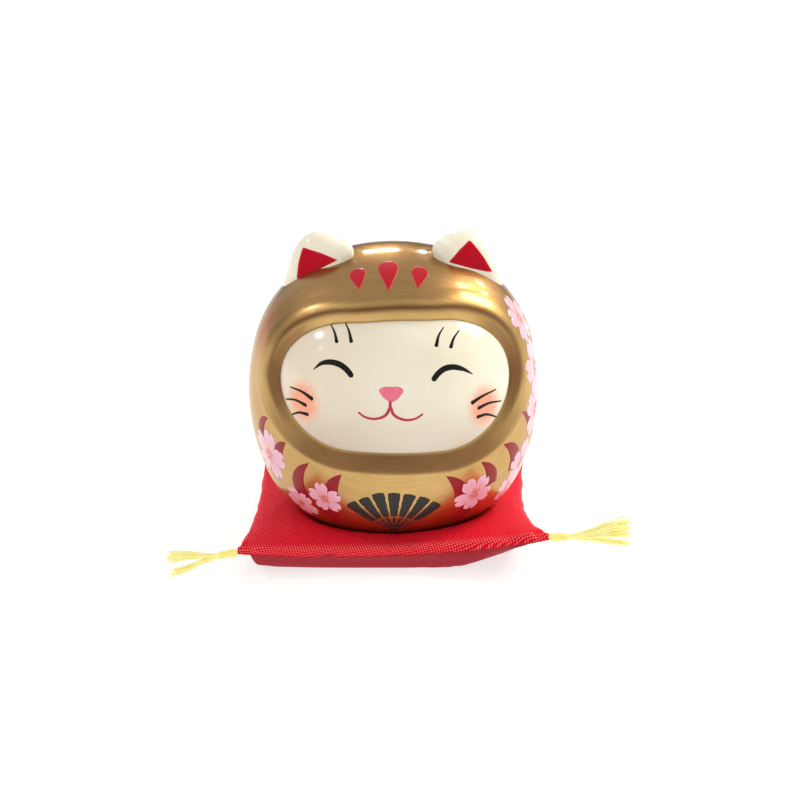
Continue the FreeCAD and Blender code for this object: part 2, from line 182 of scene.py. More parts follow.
def opening_samples(straight=72, turn=72):
    """Centre line point and outward direction, all round the opening, the same above and below."""
    run = OPENING_HALF * (1 - 2 * np.arange(straight) / straight)
    end = OPENING_HALF * np.ones(turn)
    middle = np.concatenate([run, -end, -run, end])
    quarter, arc = math.pi / 2, math.pi * (np.arange(turn) / turn)
    level = quarter * np.ones(straight)
    angle = np.concatenate([level, quarter + arc, -level, arc - quarter])
    return middle, np.cos(angle), np.sin(angle)


def rise_of(x, z):
    """How far the slot's arch and lean lift a point of the plain slot."""
    share = 0.5 + z / (2 * OPENING_ROUND)
    above = OPENING_LEAN[1] * x + OPENING_ARCH * bell(x, 12.0)
    return share * above + (1 - share) * OPENING_LEAN[0] * x


def bean(x, z):
    """Front view position of a point of the plain round-ended slot."""
    over = np.maximum(np.abs(x) - OPENING_HALF, 0.0)
    away = np.hypot(over, z)
    widen = 1 + (OPENING_WIDEN - 1) * np.minimum(1.0, OPENING_ROUND / np.maximum(away, 1e-6))
    wide = np.sign(x) * (np.minimum(np.abs(x), OPENING_HALF) + over * widen)
    return wide + OPENING_MIDDLE[0], z + OPENING_MIDDLE[1] + rise_of(wide, z)


def from_bean(x, z):
    """The plain slot's position of a front view point: the reverse of bean."""
    wide, high = x - OPENING_MIDDLE[0], z - OPENING_MIDDLE[1]
    plain = high
    for _ in range(8):
        plain = high - rise_of(wide, plain)
    beyond = np.maximum(np.abs(wide) - OPENING_HALF, 0.0)
    over = beyond
    for _ in range(8):
        away = np.maximum(np.hypot(over, plain), 1e-6)
        over = beyond / (1 + (OPENING_WIDEN - 1) * np.minimum(1.0, OPENING_ROUND / away))
    return np.sign(wide) * (np.minimum(np.abs(wide), OPENING_HALF) + over), plain


def outside(x, z):
    """Distance outside the white edge, negative on the face, and the edge's direction up, in front view."""
    plain_x, plain_z = from_bean(x, z)
    over = np.sign(plain_x) * np.maximum(np.abs(plain_x) - OPENING_HALF, 0.0)
    away = np.hypot(over, plain_z)
    return away - OPENING_ROUND, plain_z / np.maximum(away, 1e-6)


def gold_depth(away, up):
    """Depth of the gold below the egg, by distance outside the white edge.

    A bead hugs the white, then a cove curls out to the hood's edge; below the face it is one plain slope.
    """
    high, low = smooth(0.0, 0.9, up), smooth(0.0, 0.9, -up)
    lip = COVE_WIDTH + COVE_WIDER_ABOVE * high + COVE_WIDER_BELOW * low
    climb = 1 - np.clip(away / lip, 0, 1)
    toe = climb**2 / (2 * COVE_TOE)
    plain = np.where(climb < COVE_TOE, toe, climb - COVE_TOE / 2) / (1 - COVE_TOE / 2)
    depth = COVE_DEPTH * (climb ** (1.7 + 0.6 * high) * (1 - low) + plain * low)
    depth = depth - RIDGE_RISE * (1 - low) * bell(away - lip - RIDGE_OUT, RIDGE_SPREAD)
    depth = depth - BEAD_RISE * (1 - low) * bell(away - BEAD_OUT, BEAD_SPREAD)
    return depth * (1 - smooth(BAND - 1.2, BAND, away))


def gold_wash(away, up, spot):
    """Painted shade: how far the lustre is darkened, deepest in the cove round the face, lightly over the
    hood, and on the crown's top at the back.
    """
    high, low = smooth(0.1, 0.9, up), smooth(0.1, 0.9, -up)
    bottom = 0.78 * smooth(-0.2, 0.8, away) * (1 - smooth(4.7, 5.7, away))
    top = 0.86 * bell(away - 2.1, 0.66)
    top = top + 0.55 * (1 - smooth(0.9, 1.5, away)) * (1 - smooth(0.72, 0.97, up))
    side = 0.80 * smooth(-0.9, 0.2, away) * (1 - smooth(1.6, 2.7, away))
    cove_shade = low * bottom + high * top + (1 - low) * (1 - high) * side
    cove_shade = cove_shade * (1 - 0.30 * bell(up + 0.66, 0.20))
    hood = 0.54 * smooth(12.0, 26.0, spot[:, 2]) * smooth(2.6, 4.2, away)
    return cove_shade + hood + 0.40 * smooth(-3.0, 1.0, spot[:, 1]) * smooth(36.0, 40.0, spot[:, 2])


def flash_of_orange(spot):
    """A painted orange reflection on the lustre, in one patch high on the left side."""
    away = (spot - on_egg(direction_of(-70.0, 28.5)[None])[0]) / (5.0, 5.0, 9.0)
    return np.exp(-np.sum(away**2, axis=1))


def face_depth(away):
    """Depth of the face below the egg: it bulges, and turns down at the white edge."""
    inward = np.clip(1 + away / OPENING_ROUND, 0.0, 1.0)
    return FACE_DEPTH + (COVE_DEPTH - FACE_DEPTH) * inward**3 + 0.10 * smooth(-0.6, 0.0, away) ** 2


def on_face(x, z):
    """Points and normals of the white face's surface at front view positions."""
    base, normal = on_front(x, z)
    away, _ = outside(x, z)
    return base - normal * face_depth(away)[..., None], normal


def on_body(direction):
    """Points and normals of the gold outer surface along directions from CENTRE."""
    base, normal = on_egg(direction)
    away, up = outside(base[..., 0], base[..., 2])
    depth = np.where(base[..., 1] < 0, gold_depth(np.maximum(away, 0.0), up), 0.0)
    return base - normal * depth[..., None], normal


# ---- meshes --------------------------------------------------------------------------------------

def make_object(name, points, faces, material, merge=None, **shades):
    """An object from points in millimetres, faces turned outwards, with a value per point for each shade."""
    mesh = bpy.data.meshes.new(name)
    mesh.from_pydata((np.asarray(points) * MM).tolist(), [], [list(map(int, f)) for f in faces])
    for key, values in shades.items():
        mesh.attributes.new(key, "FLOAT", "POINT").data.foreach_set("value", np.asarray(values, np.float32))
    bm = bmesh.new()
    bm.from_mesh(mesh)
    if merge:
        bmesh.ops.remove_doubles(bm, verts=bm.verts, dist=merge * MM)
    bmesh.ops.recalc_face_normals(bm, faces=bm.faces)
    bm.to_mesh(mesh)
    bm.free()
    mesh.polygons.foreach_set("use_smooth", [True] * len(mesh.polygons))
    mesh.materials.append(material)
    obj = bpy.data.objects.new(name, mesh)
    bpy.context.scene.collection.objects.link(obj)
    return obj


def place(obj, body, slot, *nodes):
    """Puts a finished piece on its body and hides the nodes it stands for; slot is not used."""
    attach(obj, body)
    if nodes:
        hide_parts(*nodes)
    return obj


def grid_faces(rows, columns, closed):
    """Quads of a grid of rows by columns, stored row by row; closed joins the last column to the first."""
    along = np.arange(columns if closed else columns - 1)
    row, column = np.meshgrid(np.arange(rows - 1), along, indexing="ij")
    following = (column + 1) % columns
    corners = [row * columns + column, row * columns + following, (row + 1) * columns + following]
    corners.append((row + 1) * columns + column)
    return np.stack([c.ravel() for c in corners], 1)


def stitch(top, bottom, faces):
    """A closed slab from a sheet's faces: its points, their partners underneath, and a wall round it."""
    count = len(top)
    faces = [tuple(f) for f in faces]
    seen = {}
    for face in faces:
        for a, b in zip(face, face[1:] + face[:1]):
            seen[frozenset((a, b))] = None if frozenset((a, b)) in seen else (a, b)
    walls = [(b, a, a + count, b + count) for edge in seen.values() if edge for a, b in [edge]]
    under = [tuple(count + v for v in reversed(face)) for face in faces]
    return np.concatenate([top, bottom]), faces + under + walls


LIFT, SINK = 0.05, 0.10  # how far paint stands proud of the glaze, and how far its slab goes in


def painted(surface, flat, border, faces):
    """Slab of paint over flat positions; border is 0 inside and 1 on the rim, where the paint thins."""
    points, normals = surface(flat)
    top = points + normals * (LIFT * (1 - 0.8 * border[:, None] ** 3))
    return stitch(top, points - normals * SINK, faces)


def disc_of_paint(surface, outline, rings=10, spokes=48):
    """Paint inside a star-shaped outline, a function of angle that gives the radius."""
    share = np.linspace(0, 1, rings + 1)[1:]
    angle = circle(spokes)
    flat = share[:, None, None] * (outline(angle)[:, None] * unit(angle))[None]
    flat = np.concatenate([flat.reshape(-1, 2), [[0.0, 0.0]]])
    border = np.concatenate([np.repeat(share, spokes), [0.0]])
    faces = [tuple(f) for f in grid_faces(rings, spokes, True)]
    faces += [(rings * spokes, i, (i + 1) % spokes) for i in range(spokes)]
    points, faces = painted(surface, flat, border, faces)
    return points, faces, np.concatenate([border, border])


def stroke_of_paint(surface, spine, width, across=5, along=24):
    """Paint along a spine, a function of share of length; width is the half width at that share."""
    share = np.linspace(0, 1, along + 1)
    line = spine(share)
    tangent = np.gradient(line, axis=0)
    tangent /= np.linalg.norm(tangent, axis=1, keepdims=True)
    sideways = np.stack([-tangent[:, 1], tangent[:, 0]], 1)
    side = np.linspace(-1, 1, across)
    flat = line[:, None] + sideways[:, None] * (width(share)[:, None] * side[None])[..., None]
    border = np.abs(side)[None].repeat(along + 1, 0).ravel()
    faces = [tuple(f) for f in grid_faces(along + 1, across, False)]
    points, faces = painted(surface, flat.reshape(-1, 2), border, faces)
    return points, faces, np.concatenate([border, border])


def curve_through(points):
    """Smooth function of share of length through a few points of a plane."""
    points = np.asarray(points, float)
    gaps = np.linalg.norm(np.diff(points, axis=0), axis=1)
    knots = np.concatenate([[0], np.cumsum(gaps)]) / gaps.sum()
    slopes = np.gradient(points, knots, axis=0)

    def at(share):
        share = np.asarray(share, float)
        k = np.clip(np.searchsorted(knots, share, side="right") - 1, 0, len(knots) - 2)
        step = (knots[k + 1] - knots[k])[:, None]
        t = ((share - knots[k])[:, None]) / step
        a, b = points[k], points[k + 1]
        ta, tb = slopes[k] * step, slopes[k + 1] * step
        start = (2 * t**3 - 3 * t**2 + 1) * a + (t**3 - 2 * t**2 + t) * ta
        return start + (3 * t**2 - 2 * t**3) * b + (t**3 - t**2) * tb

    return at


def rounded(ends, least=1e-4):
    """Share of a stroke's width close to its end; ends runs from 0 at the end to 1 where it is full."""
    return np.sqrt(np.clip(ends * (2 - ends), 0, 1) + least)


def brush(widest, at=0.5, thin=0.15):
    """Half width of a brush stroke: thin at both ends, widest at a share of its length, with round ends."""
    def width(share):
        rise = np.where(share < at, share / at, (1 - share) / (1 - at))
        ends = np.minimum(np.minimum(share, 1 - share) / 0.06, 1.0)
        return widest * (thin + (1 - thin) * np.sin(np.clip(rise, 0, 1) * math.pi / 2)) * rounded(ends)
    return width


def tapered(wide, narrow, blunt=0.05):
    """Half width of a stroke that goes from wide to narrow, round at the wide end."""
    def width(share):
        ends = np.minimum(np.minimum(share / blunt, (1 - share) / (0.4 * blunt)), 1.0)
        return (wide + (narrow - wide) * share**1.3) * rounded(ends)
    return width


def lash(share):
    """Half width of a closed eye's line: a hair at the outer corner, full along the middle, then round."""
    swell = np.interp(share, [0, 0.12, 0.35, 0.6, 0.85, 1.0], [0.08, 0.32, 0.70, 0.82, 0.80, 0.72])
    return swell * rounded(np.clip((1 - share) / 0.045, 0, 1))


def radius_of(outline, angle, period=2 * math.pi):
    """Distance from the middle to an outline of points, at angles."""
    turn = np.arctan2(outline[:, 1], outline[:, 0])
    order = np.argsort(turn)
    return np.interp(angle, turn[order], np.hypot(*outline.T)[order], period=period)


def front_surface(x, z):
    """Face paint coordinates: millimetres right of and above a front view point."""
    return lambda flat: _raised(*on_face(x + flat[:, 0], z + flat[:, 1]))


def body_surface(azimuth, elevation, turn=0.0):
    """Body paint coordinates: millimetres on the plane that touches the body at an azimuth and elevation."""
    turn = math.radians(turn)
    middle, normal = on_egg(direction_of(azimuth, elevation))
    right, up = axes_across(normal)
    across = right * math.cos(turn) + up * math.sin(turn)
    away = up * math.cos(turn) - right * math.sin(turn)
    return lambda flat: _raised(*on_body(middle + flat[:, :1] * across + flat[:, 1:] * away))


def _raised(points, normals):
    return points + CENTRE, normals


def gather(parts):
    """Points and faces of several parts as one mesh."""
    points, faces, start = [], [], 0
    for part_points, part_faces in parts:
        points.append(part_points)
        faces += [tuple(v + start for v in f) for f in part_faces]
        start += len(part_points)
    return np.concatenate(points), faces


def join_slabs(name, slabs, material):
    """One object from several slabs, with each point's share of the way to its rim kept as a shade."""
    rim = np.concatenate([rim for _, _, rim in slabs])
    return make_object(name, *gather(slab[:2] for slab in slabs), material, rim=rim)


def paint(name, slabs, material, slot="gold_glaze"):
    """Puts painted slabs on the doll as one piece; slot, the glaze they are painted on, is passed on and not
    used.
    """
    place(join_slabs(name, slabs, material), "doll", slot)


def tube(path, radius, sides=8):
    """Points and faces of a round tube along a path, with rounded ends."""
    path = np.asarray(path, float)
    count = len(path)
    radius = np.broadcast_to(np.asarray(radius, float), (count,)).copy()
    tangent = np.gradient(path, axis=0)
    tangent /= np.linalg.norm(tangent, axis=1, keepdims=True)
    side = np.zeros((count, 3))
    guess = np.cross(tangent[0], UP)
    if np.linalg.norm(guess) < 0.1:
        guess = np.cross(tangent[0], [1.0, 0.0, 0.0])
    for i in range(count):
        guess = guess - tangent[i] * np.dot(guess, tangent[i])
        guess /= np.linalg.norm(guess)
        side[i] = guess
    other = np.cross(tangent, side)
    turn = unit(circle(sides))
    ring = side[:, None] * turn[None, :, :1] + other[:, None] * turn[None, :, 1:]
    points = (path[:, None] + ring * radius[:, None, None]).reshape(-1, 3)
    ends = [path[0] - tangent[0] * radius[0] * 0.7, path[-1] + tangent[-1] * radius[-1] * 0.7]
    faces = [tuple(f) for f in grid_faces(count, sides, True)]
    first, last, base = count * sides, count * sides + 1, (count - 1) * sides
    faces += [(first, (i + 1) % sides, i) for i in range(sides)]
    faces += [(last, base + i, base + (i + 1) % sides) for i in range(sides)]
    return np.concatenate([points, ends]), faces


# ---- materials -----------------------------------------------------------------------------------

class Nodes:
    """A material's node tree, with short calls to add nodes and link them."""

    def __init__(self, name):
        self.material = bpy.data.materials.new(name)
        self.material.use_nodes = True
        self.tree = self.material.node_tree
        self.shader = self.tree.nodes["Principled BSDF"]
        self.here = self.add("ShaderNodeTexCoord").outputs["Object"]

    def add(self, kind, **settings):
        node = self.tree.nodes.new(kind)
        for key, value in settings.items():
            setattr(node, key, value)
        return node

    def put(self, socket, value):
        """Links an output to a socket, or sets the socket's own value."""
        if isinstance(value, bpy.types.NodeSocket):
            self.tree.links.new(value, socket)
        else:
            socket.default_value = value

    def feed(self, node, *values):
        """Puts values into a node's first inputs, and gives its first output."""
        for socket, value in zip(node.inputs, values):
            self.put(socket, value)
        return node.outputs[0]

    def set(self, **values):
        for name, value in values.items():
            self.put(self.shader.inputs[name.replace("_", " ")], value)

    def maths(self, operation, *values):
        return self.feed(self.add("ShaderNodeMath", operation=operation), *values)

    def sum(self, first, second):
        return self.maths("ADD", first, second)

    def times(self, first, second):
        return self.maths("MULTIPLY", first, second)

    def vector(self, operation, *values):
        node = self.add("ShaderNodeVectorMath", operation=operation)
        result = self.feed(node, *values)
        return node.outputs["Value"] if operation == "LENGTH" else result

    def split(self, vector):
        """The three parts of a vector."""
        node = self.add("ShaderNodeSeparateXYZ")
        self.put(node.inputs[0], vector)
        return node.outputs

    def noise(self, scale, detail=2.0, roughness=0.5, at=None, distortion=0.0):
        node = self.add("ShaderNodeTexNoise")
        values = {"Scale": scale, "Detail": detail, "Roughness": roughness, "Distortion": distortion}
        for socket, value in values.items():
            node.inputs[socket].default_value = value
        self.put(node.inputs["Vector"], at or self.here)
        return node.outputs["Fac"]

    def stretch(self, factors, at):
        node = self.add("ShaderNodeMapping")
        self.put(node.inputs["Vector"], at)
        node.inputs["Scale"].default_value = factors
        return node.outputs[0]

    def ramp(self, value, *stops):
        node = self.add("ShaderNodeValToRGB")
        self.put(node.inputs["Fac"], value)
        for index, (place_, colour) in enumerate(stops):
            stop = node.color_ramp.elements[index] if index < 2 else node.color_ramp.elements.new(place_)
            stop.position = place_
            stop.color = (*colour, 1.0) if len(colour) == 3 else colour
        return node.outputs["Color"]

    def grade(self, value, low, high, to_low=0.0, to_high=1.0, smoothly=False):
        node = self.add("ShaderNodeMapRange", interpolation_type="SMOOTHSTEP" if smoothly else "LINEAR")
        self.feed(node, value, low, high, to_low, to_high)
        return node.outputs["Result"]

    def vary(self, noise, low, high):
        """Spreads a noise over a range."""
        return self.grade(noise, 0.3, 0.7, low, high)

    def mix(self, share, first, second, blend="MIX"):
        node = self.add("ShaderNodeMix", data_type="RGBA", blend_type=blend)
        self.put(node.inputs["Factor"], share)
        for socket, colour in ((node.inputs[6], first), (node.inputs[7], second)):
            self.put(socket, (*colour, 1.0) if isinstance(colour, tuple) else colour)
        return node.outputs[2]

    def bump(self, height, strength, distance, after=None):
        node = self.add("ShaderNodeBump")
        node.inputs["Strength"].default_value = strength
        node.inputs["Distance"].default_value = distance
        self.put(node.inputs["Height"], height)
        if after is not None:
            self.put(node.inputs["Normal"], after)
        return node.outputs["Normal"]

    def attribute(self, name):
        return self.add("ShaderNodeAttribute", attribute_name=name).outputs["Fac"]


def around_face(n):
    """Coordinates that run round the hood's opening: radius, then the turn as a circle, without a seam."""
    middle = n.vector("SUBTRACT", n.here, (0.0, 0.0, (EQUATOR + OPENING_MIDDLE[1]) * MM))
    x, y, z = n.split(middle)
    wide = n.times(x, 0.62)
    squares = [n.maths("POWER", n.maths("ABSOLUTE", side), 2.0) for side in (wide, z)]
    radius = n.maths("SQRT", n.sum(*squares))
    safe = n.sum(radius, 0.0005)
    turn = [n.times(n.maths("DIVIDE", side, safe), 2.6) for side in (wide, z)]
    out = n.add("ShaderNodeCombineXYZ")
    return n.feed(out, n.times(n.sum(radius, n.times(y, 0.6)), 1500.0), *turn)


# dark, middle and light lustre, a fleck, the colour of the painted shade, and the painted orange reflection
GOLD = ((0.48, 0.290, 0.085), (0.55, 0.340, 0.110), (0.62, 0.395, 0.145))
GOLD_FLECK, GOLD_SHADE, GOLD_ORANGE_REFLECTION = (0.80, 0.60, 0.30), (0.22, 0.095, 0.045), (0.52, 0.13, 0.04)


def gold_glaze():
    """Gold lustre under clear glaze: warm satin metal with fine brush streaks round the hood and a grain."""
    n = Nodes("gold_glaze")
    streaks = n.noise(1.0, 4.0, 0.72, at=around_face(n))
    clouds = n.noise(70.0, 3.0, 0.55)
    grain = n.noise(5200.0, 1.0, 0.5)
    tone = n.sum(n.times(streaks, 0.55), n.times(clouds, 0.45))
    colour = n.ramp(tone, (0.36, GOLD[0]), (0.5, GOLD[1]), (0.64, GOLD[2]))
    colour = n.mix(n.grade(grain, 0.35, 0.7, 0.0, 0.14), colour, GOLD_FLECK)
    # painted shade: the shell's per-point shade values darken the lustre in the cove, on the hood and atop
    # the crown
    colour = n.mix(n.attribute("wash"), colour, GOLD_SHADE, "MULTIPLY")
    # painted reflection: an orange patch high on the left
    colour = n.mix(n.grade(n.attribute("flash"), 0.1, 1.0, 0.0, 0.9), colour, GOLD_ORANGE_REFLECTION)
    rough = n.sum(n.vary(streaks, 0.29, 0.37), n.vary(grain, -0.02, 0.03))
    normal = n.bump(streaks, 0.28, 0.0001)
    normal = n.bump(grain, 0.08, 0.00004, normal)
    n.set(Base_Color=colour, Metallic=1.0, Roughness=rough, Normal=normal)
    n.set(Specular_Tint=(0.80, 0.66, 0.50, 1.0), Coat_Weight=0.50, Coat_Roughness=0.10, Coat_IOR=1.5)
    return n.material


def white_glaze(name, cheeks_and_shade=False):
    """Cream white glaze, glossy, faintly clouded, with a slightly uneven skin; on the face, each cheek
    airbrushed and painted shade low down and on the left.
    """
    n = Nodes(name)
    clouds = n.noise(55.0, 2.0, 0.5)
    skin = n.noise(260.0, 2.0, 0.5)
    specks = n.noise(2600.0, 0.0, 0.5)
    colour = n.ramp(clouds, (0.3, (0.84, 0.77, 0.61)), (0.7, (0.89, 0.83, 0.68)))
    colour = n.mix(n.grade(specks, 0.70, 0.78, 0.0, 0.10), colour, (0.55, 0.45, 0.33))
    if cheeks_and_shade:
        sideways, _, height = n.split(n.here)
        # painted shade: darker towards the bottom of the face
        lower = n.grade(height, (EQUATOR + 12) * MM, (EQUATOR - 9) * MM, smoothly=True)
        colour = n.mix(lower, colour, (0.78, 0.72, 0.72), "MULTIPLY")
        # painted shade: darker towards the left of the face
        left = n.grade(sideways, 4 * MM, -24 * MM, smoothly=True)
        colour = n.mix(left, colour, (0.90, 0.84, 0.82), "MULTIPLY")
        for x, z in CHEEKS:
            point = on_face(np.array([x]), np.array([z]))[0][0] + CENTRE
            away = n.vector("LENGTH", n.vector("SUBTRACT", n.here, tuple(point * MM)))
            ragged = n.sum(away, n.vary(n.noise(900.0, 3.0, 0.6), -0.0004, 0.0004))
            share = n.grade(ragged, 0.0076, 0.0024, 0.0, 0.90, smoothly=True)
            colour = n.mix(share, colour, (0.92, 0.30, 0.16))
    normal = n.bump(skin, 0.05, 0.0003)
    n.set(Base_Color=colour, Roughness=n.vary(skin, 0.10, 0.17), Normal=normal, IOR=1.5)
    n.set(Coat_Weight=0.35, Coat_Roughness=0.04)
    n.set(Subsurface_Weight=0.08, Subsurface_Radius=(0.9, 0.6, 0.35), Subsurface_Scale=0.0015)
    return n.material


def bisque():
    """Bare fired clay, matt, finely pitted and faintly clouded."""
    n = Nodes("bisque")
    pits = n.noise(1900.0, 4.0, 0.7)
    clouds = n.noise(140.0, 3.0, 0.6)
    colour = n.ramp(clouds, (0.3, (0.66, 0.58, 0.47)), (0.7, (0.78, 0.71, 0.60)))
    colour = n.mix(n.grade(pits, 0.55, 0.75, 0.0, 0.4), colour, (0.50, 0.42, 0.33))
    n.set(Base_Color=colour, Roughness=n.vary(pits, 0.8, 0.95), Normal=n.bump(pits, 0.5, 0.0001))
    return n.material


def enamel(name, dark, light, roughness=0.22, scale=900.0, edge=None, shine=0.3):
    """Glossy painted or printed colour with a slightly uneven film, and a thinner colour along the rim."""
    n = Nodes(name)
    film = n.noise(scale, 3.0, 0.6)
    colour = n.ramp(film, (0.3, dark), (0.7, light))
    if edge:
        rim = n.sum(n.attribute("rim"), n.vary(n.noise(2600.0, 2.0, 0.5), -0.05, 0.05))
        colour = n.mix(n.grade(rim, 0.86, 1.0, 0.0, 0.85), colour, edge)
    normal = n.bump(film, 0.12, 0.00006)
    n.set(Base_Color=colour, Roughness=n.vary(film, roughness - 0.04, roughness + 0.06), Normal=normal)
    n.set(Coat_Weight=0.4 * shine, Coat_Roughness=0.08, Specular_IOR_Level=shine)
    return n.material


def petal_print():
    """Blossom print: pale petals, rosier towards the middle and on the very rim, faintly mottled."""
    n = Nodes("petal_print")
    out = n.attribute("rim")
    mottle = n.noise(1300.0, 3.0, 0.6)
    ragged = n.sum(out, n.vary(mottle, -0.09, 0.09))
    colour = n.ramp(ragged, (0.0, (0.72, 0.27, 0.29)), (0.16, (0.78, 0.35, 0.42)), (0.40, (0.80, 0.39, 0.49)),
                    (0.75, (0.80, 0.42, 0.54)), (0.95, (0.83, 0.49, 0.60)), (1.0, (0.78, 0.36, 0.42)))
    n.set(Base_Color=colour, Roughness=n.vary(mottle, 0.20, 0.28), Normal=n.bump(mottle, 0.1, 0.00005))
    n.set(Coat_Weight=0.4, Coat_Roughness=0.08)
    return n.material


TWILL_PITCH = 0.00076  # distance between ribs, metres


def twill():
    """Red cotton twill: slanting ribs of short floats, a soft sheen, painted weave shade, lip glints and
    underside shade.
    """
    n = Nodes("red_twill")
    cloth = n.add("ShaderNodeUVMap", uv_map="cloth").outputs[0]
    wobble = n.noise(220.0, 2.0, 0.5, at=cloth)
    shifted = n.vector("ADD", cloth, n.vector("MULTIPLY", wobble, (0.0003, 0.0003, 0.0)))
    u, v, _ = n.split(shifted)
    turn = 2 * math.pi / TWILL_PITCH
    rib = n.maths("SINE", n.times(n.sum(u, n.times(v, 0.28)), turn))
    pick = n.maths("SINE", n.times(n.maths("SUBTRACT", v, n.times(u, 0.2)), turn))
    weave = n.sum(n.sum(n.times(rib, 0.26), n.times(pick, 0.26)), 0.5)
    fuzz = n.noise(6000.0, 2.0, 0.6)
    clouds = n.noise(60.0, 3.0, 0.6)
    height = n.sum(weave, n.times(fuzz, 0.35))
    # painted light and shade of the weave: thread tops paler and valleys darker than the dyed red
    dye_and_weave_shade = (0.15, (0.50, 0.001, 0.012)), (0.58, (0.86, 0.004, 0.030)), (0.98, (1.0, 0.050, 0.08))
    colour = n.ramp(height, *dye_and_weave_shade)
    colour = n.mix(n.vary(clouds, 0.0, 0.18), colour, (0.86, 0.005, 0.022))
    slubs = n.noise(1.0, 3.0, 0.7, at=n.stretch((1500.0, 520.0, 600.0), at=cloth))
    colour = n.mix(n.grade(slubs, 0.35, 0.65, 0.0, 0.55), colour, (0.56, 0.002, 0.014))
    # painted glints: paler thread tops along the front lip
    worn = n.times(n.attribute("worn"), n.grade(height, 0.80, 1.10, 0.0, 0.9))
    colour = n.mix(worn, colour, (1.0, 0.34, 0.28))
    # painted shade on the cushion's underside
    colour = n.mix(n.attribute("under"), colour, (0.37, 0.030, 0.042))
    rough = n.grade(height, 0.2, 1.0, 0.65, 0.40)
    n.set(Base_Color=colour, Roughness=rough, Normal=n.bump(height, 0.7, 0.00014), Specular_IOR_Level=0.07)
    n.set(Specular_Tint=(1.0, 0.35, 0.35, 1.0))
    return n.material


def thread(name, dark, light, shine=0.42, painted_glow=0.0):
    """Silky thread: fibres run unevenly in tone, a little light comes through, and a painted glow can
    brighten it.
    """
    n = Nodes(name)
    fibre = n.noise(2400.0, 3.0, 0.6, distortion=0.3)
    strand = n.noise(420.0, 2.0, 0.5)
    tone = n.sum(n.times(fibre, 0.5), n.times(strand, 0.5))
    n.set(Base_Color=n.ramp(tone, (0.35, dark), (0.65, light)), Roughness=n.vary(fibre, shine, shine + 0.14))
    n.set(Normal=n.bump(fibre, 0.35, 0.00005), Sheen_Weight=0.15, Sheen_Roughness=0.4)
    # painted glow: the thread gives off a little light of its own colour
    n.set(Emission_Color=(*light, 1.0), Emission_Strength=painted_glow)
    n.set(Subsurface_Weight=0.15, Subsurface_Radius=(0.8, 0.7, 0.3), Subsurface_Scale=0.0006)
    return n.material


# ---- the doll ------------------------------------------------------------------------------------

def close_between(outer, inner, columns):
    """Points and faces of a closed shell from an outer and an inner grid of one size, joined at row 0."""
    rows = len(outer) // columns
    faces = [tuple(f) for f in grid_faces(rows, columns, True)]
    count = len(outer)
    faces += [tuple(count + v for v in reversed(f)) for f in list(faces)]
    faces += [(i, (i + 1) % columns, count + (i + 1) % columns, count + i) for i in range(columns)]
    return np.concatenate([outer, inner]), faces


def gold_shell(material):
    """Hood and robe: rings that follow the opening's outline, then open out and close behind."""
    middle, right, up = opening_samples()
    columns = len(middle)
    edge = [(0.0, 0.30), (0.01, 0.12), (0.05, 0.03)]  # distance out, extra depth: a rounded edge
    band = list(np.linspace(0.14, 0.7, 8)) + list(np.linspace(0.82, BAND, 54))
    # per point: the painted shade and the painted orange reflection, for the lustre's colour
    outer, inner, wash, flash = [], [], [], []
    for away, extra in edge + [(a, 0.0) for a in band]:
        x, z = bean(middle + (OPENING_ROUND + away) * right, (OPENING_ROUND + away) * up)
        base, normal = on_front(x, z)
        depth = gold_depth(np.full(columns, away), up) + extra
        outer.append(base - normal * depth[:, None])
        inner.append(base - normal * WALL)
        wash.append(gold_wash(np.full(columns, away), up, base))
        flash.append(flash_of_orange(base))
    last = base / np.linalg.norm(base, axis=1, keepdims=True)
    start = np.arccos(-last[:, 1])
    spin = np.arctan2(last[:, 2], last[:, 0])
    for share in np.linspace(0, 1, 110)[1:]:
        open_ = start + (math.pi - start) * share
        direction = np.stack([np.sin(open_) * np.cos(spin), -np.cos(open_), np.sin(open_) * np.sin(spin)], 1)
        base, normal = on_egg(direction)
        outer.append(base)
        inner.append(base - normal * WALL)
        wash.append(gold_wash(np.full(columns, BAND), up, base))
        flash.append(flash_of_orange(base))
    points, faces = close_between(np.concatenate(outer) + CENTRE, np.concatenate(inner) + CENTRE, columns)
    wash, flash = np.concatenate(wash + wash), np.concatenate(flash + flash)
    obj = make_object("gold_shell", points, faces, material, merge=0.002, wash=wash, flash=flash)
    cut_flat(obj, FLOOR_OF_BODY)
    return obj


def cut_flat(obj, height):
    """Cuts a shell off level and closes the ring between its outer and inner walls."""
    bm = bmesh.new()
    bm.from_mesh(obj.data)
    parts = bm.verts[:] + bm.edges[:] + bm.faces[:]
    plane = (0, 0, height * MM)
    bmesh.ops.bisect_plane(bm, geom=parts, dist=1e-7, plane_co=plane, plane_no=(0, 0, 1), clear_inner=True)
    rim = [e for e in bm.edges if len(e.link_faces) == 1]
    bmesh.ops.bridge_loops(bm, edges=rim)
    bmesh.ops.recalc_face_normals(bm, faces=bm.faces)
    bm.to_mesh(obj.data)
    bm.free()
    obj.data.polygons.foreach_set("use_smooth", [True] * len(obj.data.polygons))


def face_plug(material):
    """The white face: rings from the white edge in to the slot's middle line."""
    middle, right, up = opening_samples()
    columns = len(middle)
    gaps = [-0.35, -0.15, 0.0, 0.12, 0.25, 0.45] + list(np.linspace(0.8, OPENING_ROUND, 34))
    outer, inner = [], []
    for gap in gaps:
        x, z = bean(middle + (OPENING_ROUND - gap) * right, (OPENING_ROUND - gap) * up)
        base, normal = on_front(x, z)
        away = np.full(columns, -gap)
        sunk = max(-gap, 0.0) * 2.0
        outer.append(base - normal * (face_depth(away) + sunk)[:, None])
        inner.append(base - normal * WALL)
    points, faces = close_between(np.concatenate(outer) + CENTRE, np.concatenate(inner) + CENTRE, columns)
    return make_object("face", points, faces, material, merge=0.002)


